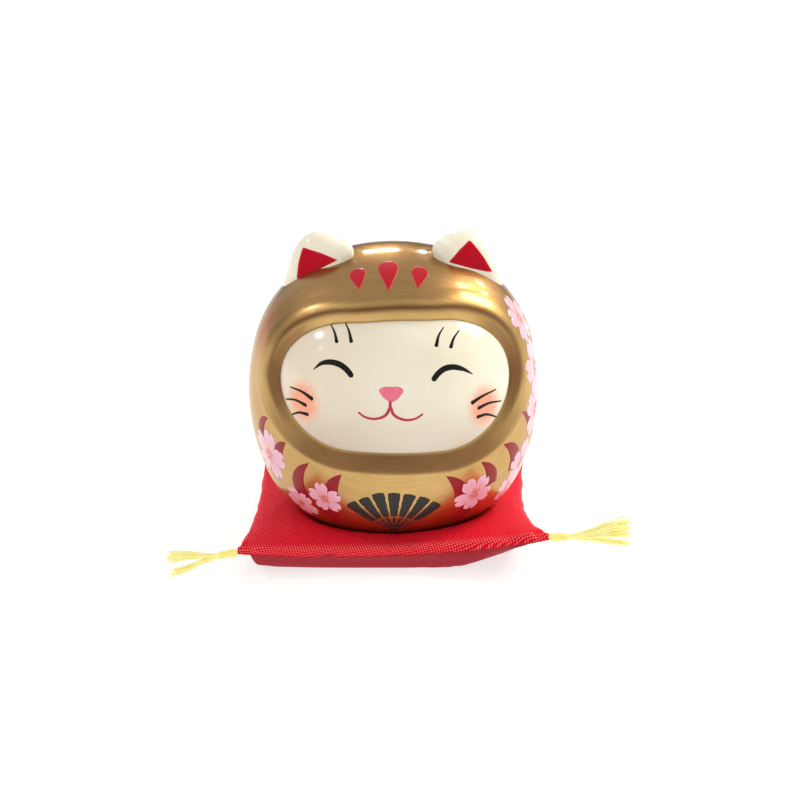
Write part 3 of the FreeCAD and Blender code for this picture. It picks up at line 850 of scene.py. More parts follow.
def turned(profile, segments):
    """Points of the rings about Z that a profile of (radius, height) points gives."""
    ring = unit(circle(segments))
    return np.concatenate([np.concatenate([ring * r, np.full((segments, 1), z)], 1) for r, z in profile])


def lathe(name, profile, material, segments=160):
    """Closed ring turned about Z from a closed profile of (radius, height) points."""
    rows = [*profile, profile[0]]
    return make_object(name, turned(rows, segments), grid_faces(len(rows), segments, True), material, 0.0005)


def rounded_profile(corners, radius=0.35, steps=4):
    """Closed outline with every corner rounded."""
    corners = np.asarray(corners, float)
    result = []
    for before, corner, after in zip(np.roll(corners, 1, 0), corners, np.roll(corners, -1, 0)):
        a, b = before - corner, after - corner
        cut = min(radius, np.linalg.norm(a) * 0.45, np.linalg.norm(b) * 0.45)
        start, end = corner + a / np.linalg.norm(a) * cut, corner + b / np.linalg.norm(b) * cut
        for t in np.linspace(0, 1, steps + 1):
            result.append((1 - t) ** 2 * start + 2 * t * (1 - t) * corner + t**2 * end)
    return result


VENT_RADIUS = 4.0
RING_WIDTH = 6.0  # of the foot ring's tread


def foot(material):
    """The bare clay base with its foot ring and the vent hole that the slip is poured out of."""
    ring_low, ring_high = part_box("foot_ring")
    outer, bottom, top = ring_high.x / MM, ring_low.z / MM, ring_high.z / MM
    rim = float(np.interp(-math.radians(60), EGG_NORMAL, EGG[:, 0])) - 4.4
    corners = [(rim, top + 0.1), (outer + 0.3, top), (outer, bottom), (outer - RING_WIDTH, bottom),
               (outer - RING_WIDTH - 0.3, top + 0.2), (VENT_RADIUS, top + 0.25), (VENT_RADIUS, top + WALL),
               (rim, top + WALL)]
    return lathe("foot", rounded_profile(corners), material)


# ---- ears ----------------------------------------------------------------------------------------

EAR_TURN = math.radians(25.0)
EAR_MIDDLE = np.array([20.8, -6.3, 38.5])  # from CENTRE, for the right ear
EAR_FRONT, EAR_BACK = 4.7, 4.4  # half thicknesses
EAR_FLAT = 0.42  # share of the ear's front that is flat
# outline in the ear's own plane, outwards and up, anticlockwise from the outer root
EAR_OUTLINE = {
    -1: [(12.1, -7.2), (10.9, -3.4), (9.4, 1.1), (7.6, 4.6), (5.1, 7.6), (2.0, 9.2), (-0.9, 9.2), (-3.7, 8.3),
         (-6.7, 7.4), (-8.9, 6.8), (-10.2, 5.3), (-10.1, 1.5), (-9.9, -2.5), (-9.6, -8.0), (0.0, -11.5)],
    1: [(11.6, -6.5), (10.6, -3.9), (8.8, -0.3), (7.1, 3.2), (5.4, 6.1), (3.1, 8.6), (0.5, 9.8), (-2.2, 9.9),
        (-4.8, 9.2), (-7.0, 8.2), (-9.2, 7.3), (-10.4, 5.8), (-10.2, 2.0), (-10.0, -2.0), (-9.6, -8.0),
        (0.0, -11.5)],
}
# corners of the painted triangle: tip, inner and outer
EAR_TRIANGLE = {
    -1: [(3.5, 5.4), (-7.9, 2.6), (5.5, -4.0)],
    1: [(-0.9, 7.8), (-7.7, 1.9), (6.6, -2.3)],
}


class Ear:
    """One ear: a fat rounded flap, flat in the middle of its front."""

    def __init__(self, side):
        self.side = side
        self.out = np.array([side * math.cos(EAR_TURN), math.sin(EAR_TURN), 0.0])
        self.front = np.array([side * math.sin(EAR_TURN), -math.cos(EAR_TURN), 0.0])
        self.origin = EAR_MIDDLE * [side, 1, 1] + CENTRE
        outline = np.array(EAR_OUTLINE[side], float)
        loop = curve_through(np.concatenate([outline[-3:], outline, outline[:4]]))
        rim = loop(np.linspace(0.12, 0.88, 900))
        angle = np.unwrap(np.arctan2(rim[:, 1], rim[:, 0]))
        keep = (angle >= angle[0]) & (angle < angle[0] + 2 * math.pi)
        self.angle, self.reach = angle[keep], np.hypot(*rim[keep].T)

    def rim(self, angle):
        return np.interp(angle, self.angle, self.reach, period=2 * math.pi)

    def share(self, flat):
        return np.hypot(flat[:, 0], flat[:, 1]) / self.rim(np.arctan2(flat[:, 1], flat[:, 0]))

    def to_space(self, flat, lift):
        return self.origin + flat[:, :1] * self.out + flat[:, 1:] * UP + lift[:, None] * self.front

    def front_at(self, flat):
        """Points and normals of the front at positions in the ear's plane."""
        def height(f):
            over = np.clip((self.share(f) - EAR_FLAT) / (1 - EAR_FLAT), 0, 1)
            return EAR_FRONT * np.sqrt(1 - over**2) - 0.25 * (1 - self.share(f)) ** 2
        step = 0.02
        lift = height(flat)
        slope = [(height(flat + d) - lift) / step for d in (np.array([step, 0]), np.array([0, step]))]
        normal = self.front[None] - slope[0][:, None] * self.out - slope[1][:, None] * UP
        return self.to_space(flat, lift), normal / np.linalg.norm(normal, axis=1, keepdims=True)

    def mesh(self, name, material, spokes=96):
        angle = circle(spokes)
        rim = self.rim(angle)[:, None] * unit(angle)
        inside = np.linspace(0, EAR_FLAT, 8)[1:]
        round_ = EAR_FLAT + (1 - EAR_FLAT) * np.sin(np.linspace(0, math.pi / 2, 16)[1:])
        shares = np.concatenate([inside, round_])
        rows = [self.front_at(rim * min(s, 0.99999))[0] for s in shares]
        for s in shares[::-1][1:]:
            rows.append(self.to_space(rim * s, np.full(spokes, -EAR_BACK * math.sqrt(max(1 - s**2.4, 0)))))
        middle = np.zeros((1, 2))
        poles = [self.front_at(middle)[0], self.to_space(middle, np.array([-EAR_BACK]))]
        points = np.concatenate(rows + poles)
        count = len(rows)
        faces = [tuple(f) for f in grid_faces(count, spokes, True)]
        near, far, last = count * spokes, count * spokes + 1, (count - 1) * spokes
        faces += [(near, (i + 1) % spokes, i) for i in range(spokes)]
        faces += [(far, last + i, last + (i + 1) % spokes) for i in range(spokes)]
        return make_object(name, points, faces, material)

    def triangle(self, name, material):
        """The red triangle painted on the front, with rounded corners and slightly bowed sides."""
        corners = np.array(EAR_TRIANGLE[self.side], float)
        middle = corners.mean(0)
        bowed = []
        for a, b in zip(corners, np.roll(corners, -1, 0)):
            out = (a + b) / 2 - middle
            bowed += [a, (a + b) / 2 + 0.09 * out]
        ring = np.array(rounded_profile(bowed, radius=0.75, steps=5)) - middle
        ring = ring[np.argsort(np.arctan2(ring[:, 1], ring[:, 0]))]

        def radius(angle):
            """Distance from the middle to the outline, by crossing each side."""
            best = np.full(len(angle), 1e9)
            direction = unit(angle)
            for p, q in zip(ring, np.roll(ring, -1, 0)):
                side = q - p
                cross = direction[:, 0] * side[1] - direction[:, 1] * side[0]
                cross = np.where(np.abs(cross) < 1e-9, 1e-9, cross)
                t = (p[0] * side[1] - p[1] * side[0]) / cross
                s = (p[0] * direction[:, 1] - p[1] * direction[:, 0]) / cross
                best = np.where((t > 0) & (s >= -1e-6) & (s <= 1 + 1e-6) & (t < best), t, best)
            return np.where(best > 1e8, radius_of(ring, angle), best)

        slab = disc_of_paint(lambda f: self.front_at(f + middle), radius, 14, 120)
        return join_slabs(name, [slab], material)


# ---- painted marks -------------------------------------------------------------------------------

CHEEKS = [(-25.6, 5.3), (26.0, 4.1)]  # front view, from the equator
NOSE = (-0.45, 9.9)
NOSE_OUTLINE = ((-3.3, 1.1), (-2.4, 1.75), (0.0, 1.9), (2.4, 1.75), (3.3, 1.1), (2.5, -0.6), (1.3, -1.7),
                (0.0, -2.3), (-1.3, -1.7), (-2.5, -0.6))
# closed smiling eyes, brows and whiskers, in front view millimetres from the equator, thin end first
BRUSH_STROKES = {
    "eye_left": ([(-22.2, 14.8), (-19.5, 16.9), (-16.6, 17.4), (-14.1, 16.8), (-12.2, 15.4), (-11.0, 13.9)],
                 lash),
    "eye_right": ([(22.1, 13.6), (18.9, 15.5), (16.3, 16.2), (14.0, 15.9), (12.2, 14.7), (10.8, 12.9)], lash),
    "brow_left_outer": ([(-18.5, 27.9), (-16.7, 25.5), (-15.6, 22.5)], tapered(0.16, 0.54)),
    "brow_left_inner": ([(-14.1, 28.7), (-12.6, 26.3), (-11.5, 22.9)], tapered(0.16, 0.56)),
    "brow_right_inner": ([(14.5, 27.0), (12.9, 24.9), (11.9, 21.8)], tapered(0.16, 0.58)),
    "brow_right_outer": ([(18.9, 25.7), (17.0, 23.6), (15.9, 21.1)], tapered(0.16, 0.56)),
    "whisker_left_top": ([(-29.8, 8.6), (-25.7, 8.2), (-22.2, 6.6)], tapered(0.20, 0.62)),
    "whisker_left_middle": ([(-31.7, 4.5), (-28.0, 5.3), (-24.2, 4.5)], tapered(0.20, 0.57)),
    "whisker_left_bottom": ([(-30.0, 0.3), (-26.9, 1.9), (-23.8, 2.0)], tapered(0.20, 0.57)),
    "whisker_right_top": ([(29.6, 8.0), (24.8, 7.0), (21.6, 5.6)], tapered(0.20, 0.62)),
    "whisker_right_middle": ([(31.8, 4.0), (27.0, 4.6), (23.6, 3.8)], tapered(0.20, 0.57)),
    "whisker_right_bottom": ([(30.8, -0.6), (26.2, 1.5), (23.5, 1.3)], tapered(0.20, 0.57)),
}
LIP_WIDTH = tapered(0.44, 0.27, 0.03)
# points, half width and steps along each stroke of the mouth
MOUTH_STROKES = (
    ([(-0.7, 8.1), (-0.75, 6.9), (-0.75, 5.7)], brush(0.42, 0.5, 0.8), 10),
    ([(-0.72, 6.4), (-1.9, 4.15), (-4.0, 3.1), (-6.3, 3.0), (-8.1, 3.6), (-9.6, 4.7)], LIP_WIDTH, 40),
    ([(-0.72, 6.4), (0.3, 4.15), (2.2, 3.0), (4.7, 2.65), (6.7, 3.2), (8.3, 4.3)], LIP_WIDTH, 40),
)


def nose_outline(angle):
    """A soft triangle with a wide, slightly rounded top."""
    loop = curve_through([*NOSE_OUTLINE[-2:], *NOSE_OUTLINE, *NOSE_OUTLINE[:3]])
    return radius_of(loop(np.linspace(0, 1, 600)), angle)


def face_marks(black, pink, crimson):
    """The face's brush work."""
    face = front_surface(0, 0)
    for name, (points, width) in BRUSH_STROKES.items():
        paint(name, [stroke_of_paint(face, curve_through(points), width, 7, 30)], black, "white_glaze")
    paint("nose", [disc_of_paint(front_surface(*NOSE), nose_outline, 10, 72)], pink, "white_glaze")
    mouth = [stroke_of_paint(face, curve_through(line), width, along=n) for line, width, n in MOUTH_STROKES]
    paint("mouth", mouth, crimson, "white_glaze")


# azimuth, elevation and lean in degrees, half width, then the top, the shoulder and, downwards, the tip
DROPS = {
    "drop_left": (-24.2, 57.9, 26.5, 2.42, 3.8, 1.0, 5.6),
    "drop_middle": (-3.6, 61.5, 3.8, 2.90, 5.5, 1.7, 8.5),
    "drop_right": (18.4, 59.1, -21.4, 2.40, 3.95, 1.1, 5.9),
}


def drop_outline(half_width, top, shoulder, tip):
    """A round top that narrows to a point at the bottom."""
    turn, down = np.linspace(math.pi / 2, 0, 120), np.linspace(0, 1, 200)
    x = np.concatenate([half_width * np.cos(turn) ** 0.9, half_width * (1 - down**1.35)])
    round_top = shoulder + (top - shoulder) * np.sin(turn) ** 0.9
    outline = np.stack([x, np.concatenate([round_top, shoulder - (shoulder + tip) * down])], 1)
    return lambda angle: radius_of(outline, np.arctan2(np.sin(angle), np.abs(np.cos(angle))), None)


def drops(material):
    """Three falling drops on the forehead, points down."""
    for name, (azimuth, elevation, lean, *sizes) in DROPS.items():
        surface = body_surface(azimuth, elevation, lean)
        paint(name, [disc_of_paint(surface, drop_outline(*sizes), 12, 96)], material)


def blossom_outline(size):
    """Five rounded petals, each with a small notch at its tip."""
    def radius(angle):
        turn = angle * 5 / (2 * math.pi)
        in_petal = np.abs(turn - np.round(turn)) * 2
        petal = 0.36 + 0.64 * np.sqrt(np.clip(1 - in_petal**2.6, 0, 1))
        return size * (petal - 0.19 * bell(in_petal, 0.11))
    return radius


# azimuth, elevation, radius, turn of the petals in degrees
BLOSSOMS = {
    "blossom_front_left": (-29.9, -31.0, 5.6, 96.0),
    "blossom_low_left": (-46.5, -37.0, 6.0, 40.0),
    "blossom_left": (-59.0, -18.5, 8.4, 70.0),
    "blossom_front_right": (36.0, -30.0, 6.6, 58.0),
    "blossom_low_right": (61.0, -33.0, 6.0, 20.0),
    "blossom_right": (65.5, -23.5, 7.4, 88.0),
    "blossom_side": (73.0, -3.5, 8.6, 14.0),
    "blossom_mid": (74.0, 13.0, 8.8, 36.0),
    "blossom_high": (72.8, 32.5, 7.6, 96.0),
    "blossom_back": (106.0, -16.0, 7.2, 30.0),
}
# azimuth, elevation of the root and of the tip, half width, bow to one side
LEAVES = {
    "leaf_far_left_high": ((-63.0, -11.5), (-55.3, -2.6), 2.0, 1.7),
    "leaf_far_left": ((-51.5, -17.5), (-44.9, -10.0), 2.1, 1.0),
    "leaf_left": ((-42.0, -33.5), (-33.7, -14.9), 2.7, 3.0),
    "leaf_front_left": ((-26.5, -29.0), (-19.9, -18.4), 2.3, 1.0),
    "leaf_front_right": ((30.5, -31.0), (20.6, -19.0), 2.5, -1.3),
    "leaf_right": ((44.5, -27.5), (35.7, -15.6), 2.3, -1.6),
    "leaf_far_right": ((59.0, -24.0), (46.4, -10.6), 2.7, -2.4),
    "leaf_side": ((68.0, -10.0), (57.5, -0.8), 2.0, -1.4),
    "leaf_under_left": ((-33.0, -33.0), (-27.0, -45.5), 3.4, 0.8),
    "leaf_under_right": ((38.0, -34.0), (30.0, -44.5), 3.2, -0.6),
    "leaf_back": ((98.0, -12.0), (92.0, 1.0), 2.4, -1.2),
}


STAMENS = 15


def at_angle(reach, angle):
    return reach * math.cos(angle), reach * math.sin(angle)


def blossoms(petals, stamen, centre_paint):
    """Cherry blossoms with a ring of stamens, printed over their leaves."""
    random = np.random.default_rng(SEED)
    for name, (azimuth, elevation, size, twist) in BLOSSOMS.items():
        surface = body_surface(azimuth, elevation, twist)
        paint(name, [disc_of_paint(over(surface, 0.03), blossom_outline(size), 16, 160)], petals)
        top = over(surface, 0.06)
        hairs, tips = [], []
        for k in range(STAMENS):
            angle = 2 * math.pi * (k + random.uniform(-0.25, 0.25)) / STAMENS
            reach = size * random.uniform(0.22, 0.42)
            line = [at_angle(0.06 * size, angle), at_angle(0.6 * reach, angle + 0.05), at_angle(reach, angle)]
            hairs.append(stroke_of_paint(top, curve_through(line), brush(0.17, 0.4, 0.6), across=3, along=6))
            anther = moved(top, np.array([line[-1]]))
            tips.append(disc_of_paint(anther, lambda a: np.full(len(a), 0.25), 2, 10))
        paint(name + "_stamens", hairs, centre_paint)
        paint(name + "_anthers", tips, stamen)


def over(surface, lift):
    """The same surface, raised."""
    def raised(flat):
        points, normals = surface(flat)
        return points + normals * lift, normals
    return raised


def moved(surface, spot):
    return lambda flat: surface(flat + spot)


def leaves(material):
    """Horn-shaped leaves that curve up from behind the blossoms to a sharp tip."""
    for name, (root, tip, half_width, bow) in LEAVES.items():
        surface = body_surface(*root)
        right, high = axes_across(direction_of(*root))
        span = on_egg(direction_of(*tip))[0] - on_egg(direction_of(*root))[0]
        end = np.array([span @ right, span @ high])
        side = np.array([-end[1], end[0]]) / np.linalg.norm(end)
        spine = curve_through([(0, 0), end * 0.35 + side * bow * 0.9, end * 0.7 + side * bow * 0.75, end])

        def width(share, w=half_width):
            return w * np.maximum(np.cos(share * math.pi / 2) ** 0.85, 0.02)

        paint(name, [stroke_of_paint(surface, spine, width, across=9, along=30)], material)


FAN_RIVET = (0.4, -46.0)  # azimuth and elevation
FAN_REACH, FAN_INNER = 17.5, 7.2  # where the fan's leaf ends and starts, from the rivet
FAN_SPREAD, FAN_BLADES = math.radians(118.0), 7


def fan_emblem(material):
    """An open folding fan brushed in black on the robe: seven leaves, their ribs and the rivet."""
    surface = body_surface(*FAN_RIVET)
    random = np.random.default_rng(SEED + 1)
    step = FAN_SPREAD / FAN_BLADES
    slabs = []
    for k in range(FAN_BLADES):
        middle = math.pi / 2 + (k - (FAN_BLADES - 1) / 2) * step
        long_, short = FAN_REACH + random.uniform(-0.5, 0.3), FAN_INNER + random.uniform(-0.2, 0.3)
        uneven = [random.uniform(0, 2 * math.pi) for _ in range(3)]

        def width(share, short=short, long_=long_, uneven=uneven):
            radius = short + (long_ - short) * share
            ragged = 1 + 0.035 * np.sin(23 * share + uneven[0]) + 0.03 * np.sin(41 * share + uneven[1])
            ends = np.clip(np.minimum(share / 0.05, (1 - share) / 0.07), 0, 1)
            return radius * math.tan(step / 2) * 0.80 * ragged * rounded(ends, 1e-3)

        halfway = np.array(at_angle((short + long_) / 2, middle)) + (0.05 * math.sin(uneven[2]), 0.0)
        spine = curve_through([at_angle(short, middle), halfway, at_angle(long_, middle)])
        slabs.append(stroke_of_paint(surface, spine, width, across=9, along=40))
        rib = curve_through([at_angle(reach, middle) for reach in (1.5, short * 0.55, short - 0.35)])
        slabs.append(stroke_of_paint(surface, rib, tapered(0.30, 0.42), along=12))
    slabs.append(disc_of_paint(surface, lambda a: 1.25 + 0.06 * np.sin(3 * a), 5, 30))
    paint("fan_emblem", slabs, material)


# ---- cushion -------------------------------------------------------------------------------------

PAD_GRID = 84  # squares along a side
PAD_X, PAD_Y = 43.3, 42.1  # corners
PAD_SEAM = 4.6  # height of the seam along the sides
PAD_TOP = 3.0  # height of the top above the seam
# height of the seam at each corner, by its side in X and in Y
CORNER_HEIGHT = {(-1, -1): 7.4, (1, -1): 11.6, (-1, 1): 7.4, (1, 1): 9.0}
# how near a corner its flap, which has no filling, starts and is full
CORNER_FLAP = {(-1, -1): (0.88, 0.97), (1, -1): (0.62, 0.88), (-1, 1): (0.88, 0.97), (1, 1): (0.82, 0.95)}
SIDE_SAG_X = (0.045, 0.105)  # share by which the middles of the left and right sides are pulled in
SIDE_SAG_Y = 0.066  # and of the front and back
DOLL_GAP = 0.12  # between the doll and the cloth
PUCKER = 0.14  # up and down, of the cloth beside the seam
SWAY = 0.0035  # share by which the seam wanders in and out


def pad_shape():
    """Top and bottom sheets of the pad over a square grid, before it is stuffed."""
    line = np.sin(np.linspace(-1, 1, PAD_GRID + 1) * math.pi / 2 * 0.92) / math.sin(math.pi / 2 * 0.92)
    u, v = np.meshgrid(line, line, indexing="xy")
    x = PAD_X * u * (1 - np.where(u < 0, *SIDE_SAG_X) * (1.04 - np.sqrt(v**2 + 0.08)))
    y = PAD_Y * v * (1 - SIDE_SAG_Y * (1 - u**2))
    seam = np.full_like(u, PAD_SEAM)
    near = {
        (side_x, side_y): np.clip((1 + side_x * u) / 2, 0, 1) * np.clip((1 + side_y * v) / 2, 0, 1)
        for side_x, side_y in CORNER_HEIGHT
    }
    for corner, height in CORNER_HEIGHT.items():
        power = 6.5 if height < 10 else 3.5
        seam = seam + (height - PAD_SEAM) * near[corner] ** power
    from_end = PAD_Y * (1 - np.abs(v))
    seam = seam + 1.9 * smooth(0.0, 2.0, from_end) * np.exp(-from_end / 8.0) * smooth(0.72, 1.0, np.abs(u))
    full = np.sqrt(np.clip((1 - u**6) * (1 - v**6), 0, 1))
    thinned = (np.abs(u) * np.abs(v)) ** 5
    top = seam + PAD_TOP * full * (1 - 0.75 * thinned)
    inward = np.minimum(PAD_X * (1 - np.abs(u)), PAD_Y * (1 - np.abs(v)))
    bottom = (seam - PAD_SEAM) * np.exp(-inward / 12.0) + PAD_SEAM * (1 - smooth(1.6, 5.6, inward))
    bottom = np.maximum(bottom, 0.05)
    for corner, limits in CORNER_FLAP.items():
        flap = smooth(*limits, near[corner])
        bottom = bottom * (1 - flap) + np.maximum(seam - 0.35 - 0.06 * inward, 0.05) * flap
    return u, v, x, y, top, bottom


def under_doll(x, y):
    """Height of the doll's underside over a point of the table, less the gap to the cloth."""
    reach = np.hypot(x, y)
    lower = EGG_NORMAL < 0
    height = np.interp(reach, EGG[lower, 0], EGG[lower, 1] + EQUATOR, right=200.0)
    slope = np.interp(reach, EGG[lower, 0], np.cos(EGG_NORMAL[lower]), right=0.9)
    return np.maximum(height, CUSHION_FLAT + 0.02) - DOLL_GAP / np.sqrt(np.maximum(1 - slope**2, 0.05))


def build_cushion(material):
    """The stuffed cushion: two panels joined at the seam, inflated by a cloth simulation round the doll."""
    u, v, x, y, top, bottom = pad_shape()
    side = PAD_GRID + 1
    top = np.minimum(top, under_doll(x, y) - 0.3)
    count = side * side
    points = np.concatenate([np.stack([x, y, z], -1).reshape(-1, 3) for z in (top, bottom)])
    faces = grid_faces(side, side, False)
    faces = [tuple(f) for f in faces] + [tuple(count + v_ for v_ in reversed(f)) for f in faces.tolist()]
    border = (np.abs(u) > 0.9999) | (np.abs(v) > 0.9999)
    alias = np.arange(2 * count)
    seam_ids = np.flatnonzero(border.ravel())
    alias[count + seam_ids] = seam_ids
    keep = np.unique(alias)
    renumber = np.zeros(2 * count, int)
    renumber[keep] = np.arange(len(keep))
    faces = [tuple(renumber[alias[i]] for i in f) for f in faces]
    points = points[keep]
    is_top = keep < count
    flat_x, flat_y, flat_u, flat_v = (np.concatenate([part.ravel()] * 2)[keep] for part in (x, y, u, v))
    flat_u, flat_v = np.abs(flat_u), np.abs(flat_v)
    seam = np.maximum(flat_u, flat_v) > 0.9999

    points = stuff(points, faces, flat_u * flat_v, seam)
    points = settle(points, is_top, seam)

    # painted glints along the top of the front lip
    worn = (is_top & (flat_y < 0)) * bell(PAD_Y * (1 - flat_v) - 1.4, 1.5)
    # painted shade over the underside panel
    obj = make_object("cushion", points, faces, material, under=~is_top, worn=worn)
    layer = obj.data.uv_layers.new(name="cloth")
    corner_vertex = np.zeros(len(obj.data.loops), int)
    obj.data.loops.foreach_get("vertex_index", corner_vertex)
    # the weave follows the cloth down the lip, so what the lip drops is added to its run
    drop = np.clip(PAD_SEAM + PAD_TOP - points[:, 2], 0.0, 4.0)
    weave_x = flat_x + np.sign(flat_x) * drop * (flat_u > flat_v)
    weave_y = flat_y + np.sign(flat_y) * drop * (flat_v >= flat_u)
    weave = np.stack([weave_x, weave_y], 1)
    layer.data.foreach_set("uv", (weave[corner_vertex] * MM).astype(np.float32).ravel())
    crease = obj.data.attributes.new("crease_edge", "FLOAT", "EDGE")
    ends = np.zeros(len(obj.data.edges) * 2, int)
    obj.data.edges.foreach_get("vertices", ends)
    on_seam = seam[ends.reshape(-1, 2)].all(1)
    crease.data.foreach_set("value", (on_seam * 0.55).astype(np.float32))
    subdivide(obj)
    return obj


SIM_SCALE = 10.0  # cloth is simulated ten times life size, where the solver's distances suit it
SIM_FRAMES = 24
STUFF_CAP = 1.1  # most that a point may move while the pad is stuffed, millimetres
SETTLE = 0.31  # how far the underside then drops to lie flat on the table
ON_TABLE = 0.03  # lowest that the cloth comes


def stuff(points, faces, cornerness, seam):
    """Blows the pad up round the doll and returns its points, with no point moved further than the cap.

    The seam's cord is stiff, so its points follow only a little.
    """
    scale = MM * SIM_SCALE
    mesh = bpy.data.meshes.new("pad_simulation")
    mesh.from_pydata((points * scale).tolist(), [], faces)
    pad = bpy.data.objects.new("pad_simulation", mesh)
    bpy.context.scene.collection.objects.link(pad)
    group = pad.vertex_groups.new(name="pinned")
    for index in np.flatnonzero(cornerness > 0.93):
        group.add([int(index)], 1.0, "REPLACE")

    low = EGG_NORMAL < 0.3
    outline = [(r, z + EQUATOR) for r, z in EGG[low][::60] if z + EQUATOR > CUSHION_FLAT]
    outline = [(0.01, CUSHION_FLAT), (outline[0][0], CUSHION_FLAT)] + outline
    table = np.array([(-90, -90, 0), (90, -90, 0), (90, 90, 0), (-90, 90, 0)], float)
    proxies = []
    for name, verts, quads in (
        ("doll_proxy", turned(outline, 96), grid_faces(len(outline), 96, True)),
        ("table_proxy", table, np.array([[0, 1, 2, 3]])),
    ):
        data = bpy.data.meshes.new(name)
        data.from_pydata((verts * scale).tolist(), [], quads.tolist())
        proxy = bpy.data.objects.new(name, data)
        bpy.context.scene.collection.objects.link(proxy)
        proxy.modifiers.new("Collision", "COLLISION")
        proxy.collision.thickness_outer = 0.002
        proxies.append(proxy)

    cloth = pad.modifiers.new("Cloth", "CLOTH")
    cloth.settings.quality = 8
    cloth.settings.mass = 0.25
    cloth.settings.tension_stiffness = cloth.settings.compression_stiffness = 18.0
    cloth.settings.shear_stiffness = 8.0
    cloth.settings.bending_stiffness = 0.35
    cloth.settings.shrink_min = -0.025
    cloth.settings.use_pressure = True
    cloth.settings.uniform_pressure_force = 4.0
    cloth.settings.vertex_group_mass = "pinned"
    cloth.settings.effector_weights.gravity = 0.0
    cloth.collision_settings.collision_quality = 3
    cloth.collision_settings.distance_min = 0.002
    scene = bpy.context.scene
    scene.frame_start, scene.frame_end = 1, SIM_FRAMES
    cloth.point_cache.frame_end = SIM_FRAMES
    for step in range(1, SIM_FRAMES + 1):
        scene.frame_set(step)
    posed = pad.evaluated_get(bpy.context.evaluated_depsgraph_get()).data
    blown = np.zeros(len(posed.vertices) * 3)
    posed.vertices.foreach_get("co", blown)
    blown = blown.reshape(-1, 3) / scale
    move = blown - points
    length = np.linalg.norm(move, axis=1, keepdims=True)
    print(f"cushion: stuffing asks for {length.mean():.2f} mm on average and {length.max():.2f} mm at most")
    move *= np.minimum(1, STUFF_CAP / np.maximum(length, 1e-9))
    move[seam] *= 0.25
    for other in proxies + [pad]:
        bpy.data.objects.remove(other)
    scene.frame_set(1)
    return points + move


def settle(points, is_top, seam):
    """Lays the stuffed pad on the table and under the doll, and puckers the cloth beside the seam."""
    points = points.copy()
    cover = is_top & ~seam
    points[cover, 2] = np.minimum(points[cover, 2], under_doll(points[cover, 0], points[cover, 1]))
    around = np.arctan2(points[:, 1] / PAD_Y, points[:, 0] / PAD_X)
    pucker = np.sin(around * 88) * 0.5 + np.sin(around * 131 + 1.3) * 0.5
    points[seam, 2] += PUCKER * pucker[seam]
    loose = 1 - smooth(0.80, 0.95, np.abs(points[:, 0] * points[:, 1]) / (PAD_X * PAD_Y))
    sway = 1 + SWAY * (np.sin(around * 17 + 0.4) + 0.7 * np.sin(around * 29)) * loose
    points[seam, :2] *= sway[seam, None]
    resting = smooth(1.2, 0.3, points[:, 2]) * ~seam
    points[:, 2] = np.maximum(points[:, 2] - SETTLE * resting, ON_TABLE)
    return points


def subdivide(obj):
    """Gives an object one level of subdivision, as real geometry."""
    modifier = obj.modifiers.new("Subsurf", "SUBSURF")
    modifier.levels = modifier.render_levels = 1
    data = bpy.data.meshes.new_from_object(obj.evaluated_get(bpy.context.evaluated_depsgraph_get()))
    obj.modifiers.clear()
    obj.data = data


# ---- tassels -------------------------------------------------------------------------------------

# climb of the threads, their length, then bunches: share of the threads, sideways and upward slope, spread
TASSELS = {
    "front_left": (-8.0, 18.0, [(0.66, 0.0, 0.12, 0.050), (0.34, 0.02, -0.15, 0.030)]),
    "front_right": (3.0, 21.5, [(0.36, -0.03, 0.21, 0.035), (0.24, 0.03, 0.10, 0.03), (0.2, 0.0, 0.02, 0.03),
                                (0.2, 0.03, -0.13, 0.02)]),
    "back_left": (-8.0, 18.0, [(0.6, 0.06, 0.02, 0.06), (0.4, -0.12, -0.05, 0.04)]),
    "back_right": (-6.0, 18.0, [(0.6, -0.06, 0.06, 0.06), (0.4, 0.12, -0.10, 0.04)]),
}
THREADS, THREAD_RADIUS = 84, 0.15
BINDING_TURNS, BINDING_RADIUS = 15, 0.17


def build_tassels(floss, binding_thread):
    joints = {joint["name"]: joint for joint in frame["joints"]}
    for index, (corner, (climb, longest, bunches)) in enumerate(TASSELS.items()):
        joint = joints[f"tassel_{corner}_swing"]
        pivot = np.array(joint["pos_m"]) / MM
        axis = np.array(joint["axis"])
        heading = np.cross([0, 0, 1], axis)
        lean = math.radians(climb)
        along = heading * math.cos(lean) + np.array([0, 0, math.sin(lean)])
        across = -axis
        high = np.cross(across, along)
        high = high if high[2] > 0 else -high
        body = f"tassel_{corner}"
        random = np.random.default_rng(SEED + 10 + index)
        loose = gather(bunch(pivot, along, across, high, longest, bunches, random))
        place(make_object(f"{body}_floss", *loose, floss), body, "tassel_thread", f"{body}_threads")
        tied = gather(wound(pivot, along, across, high))
        place(make_object(f"{body}_binding", *tied, binding_thread), body, "binding_thread", f"{body}_knot")


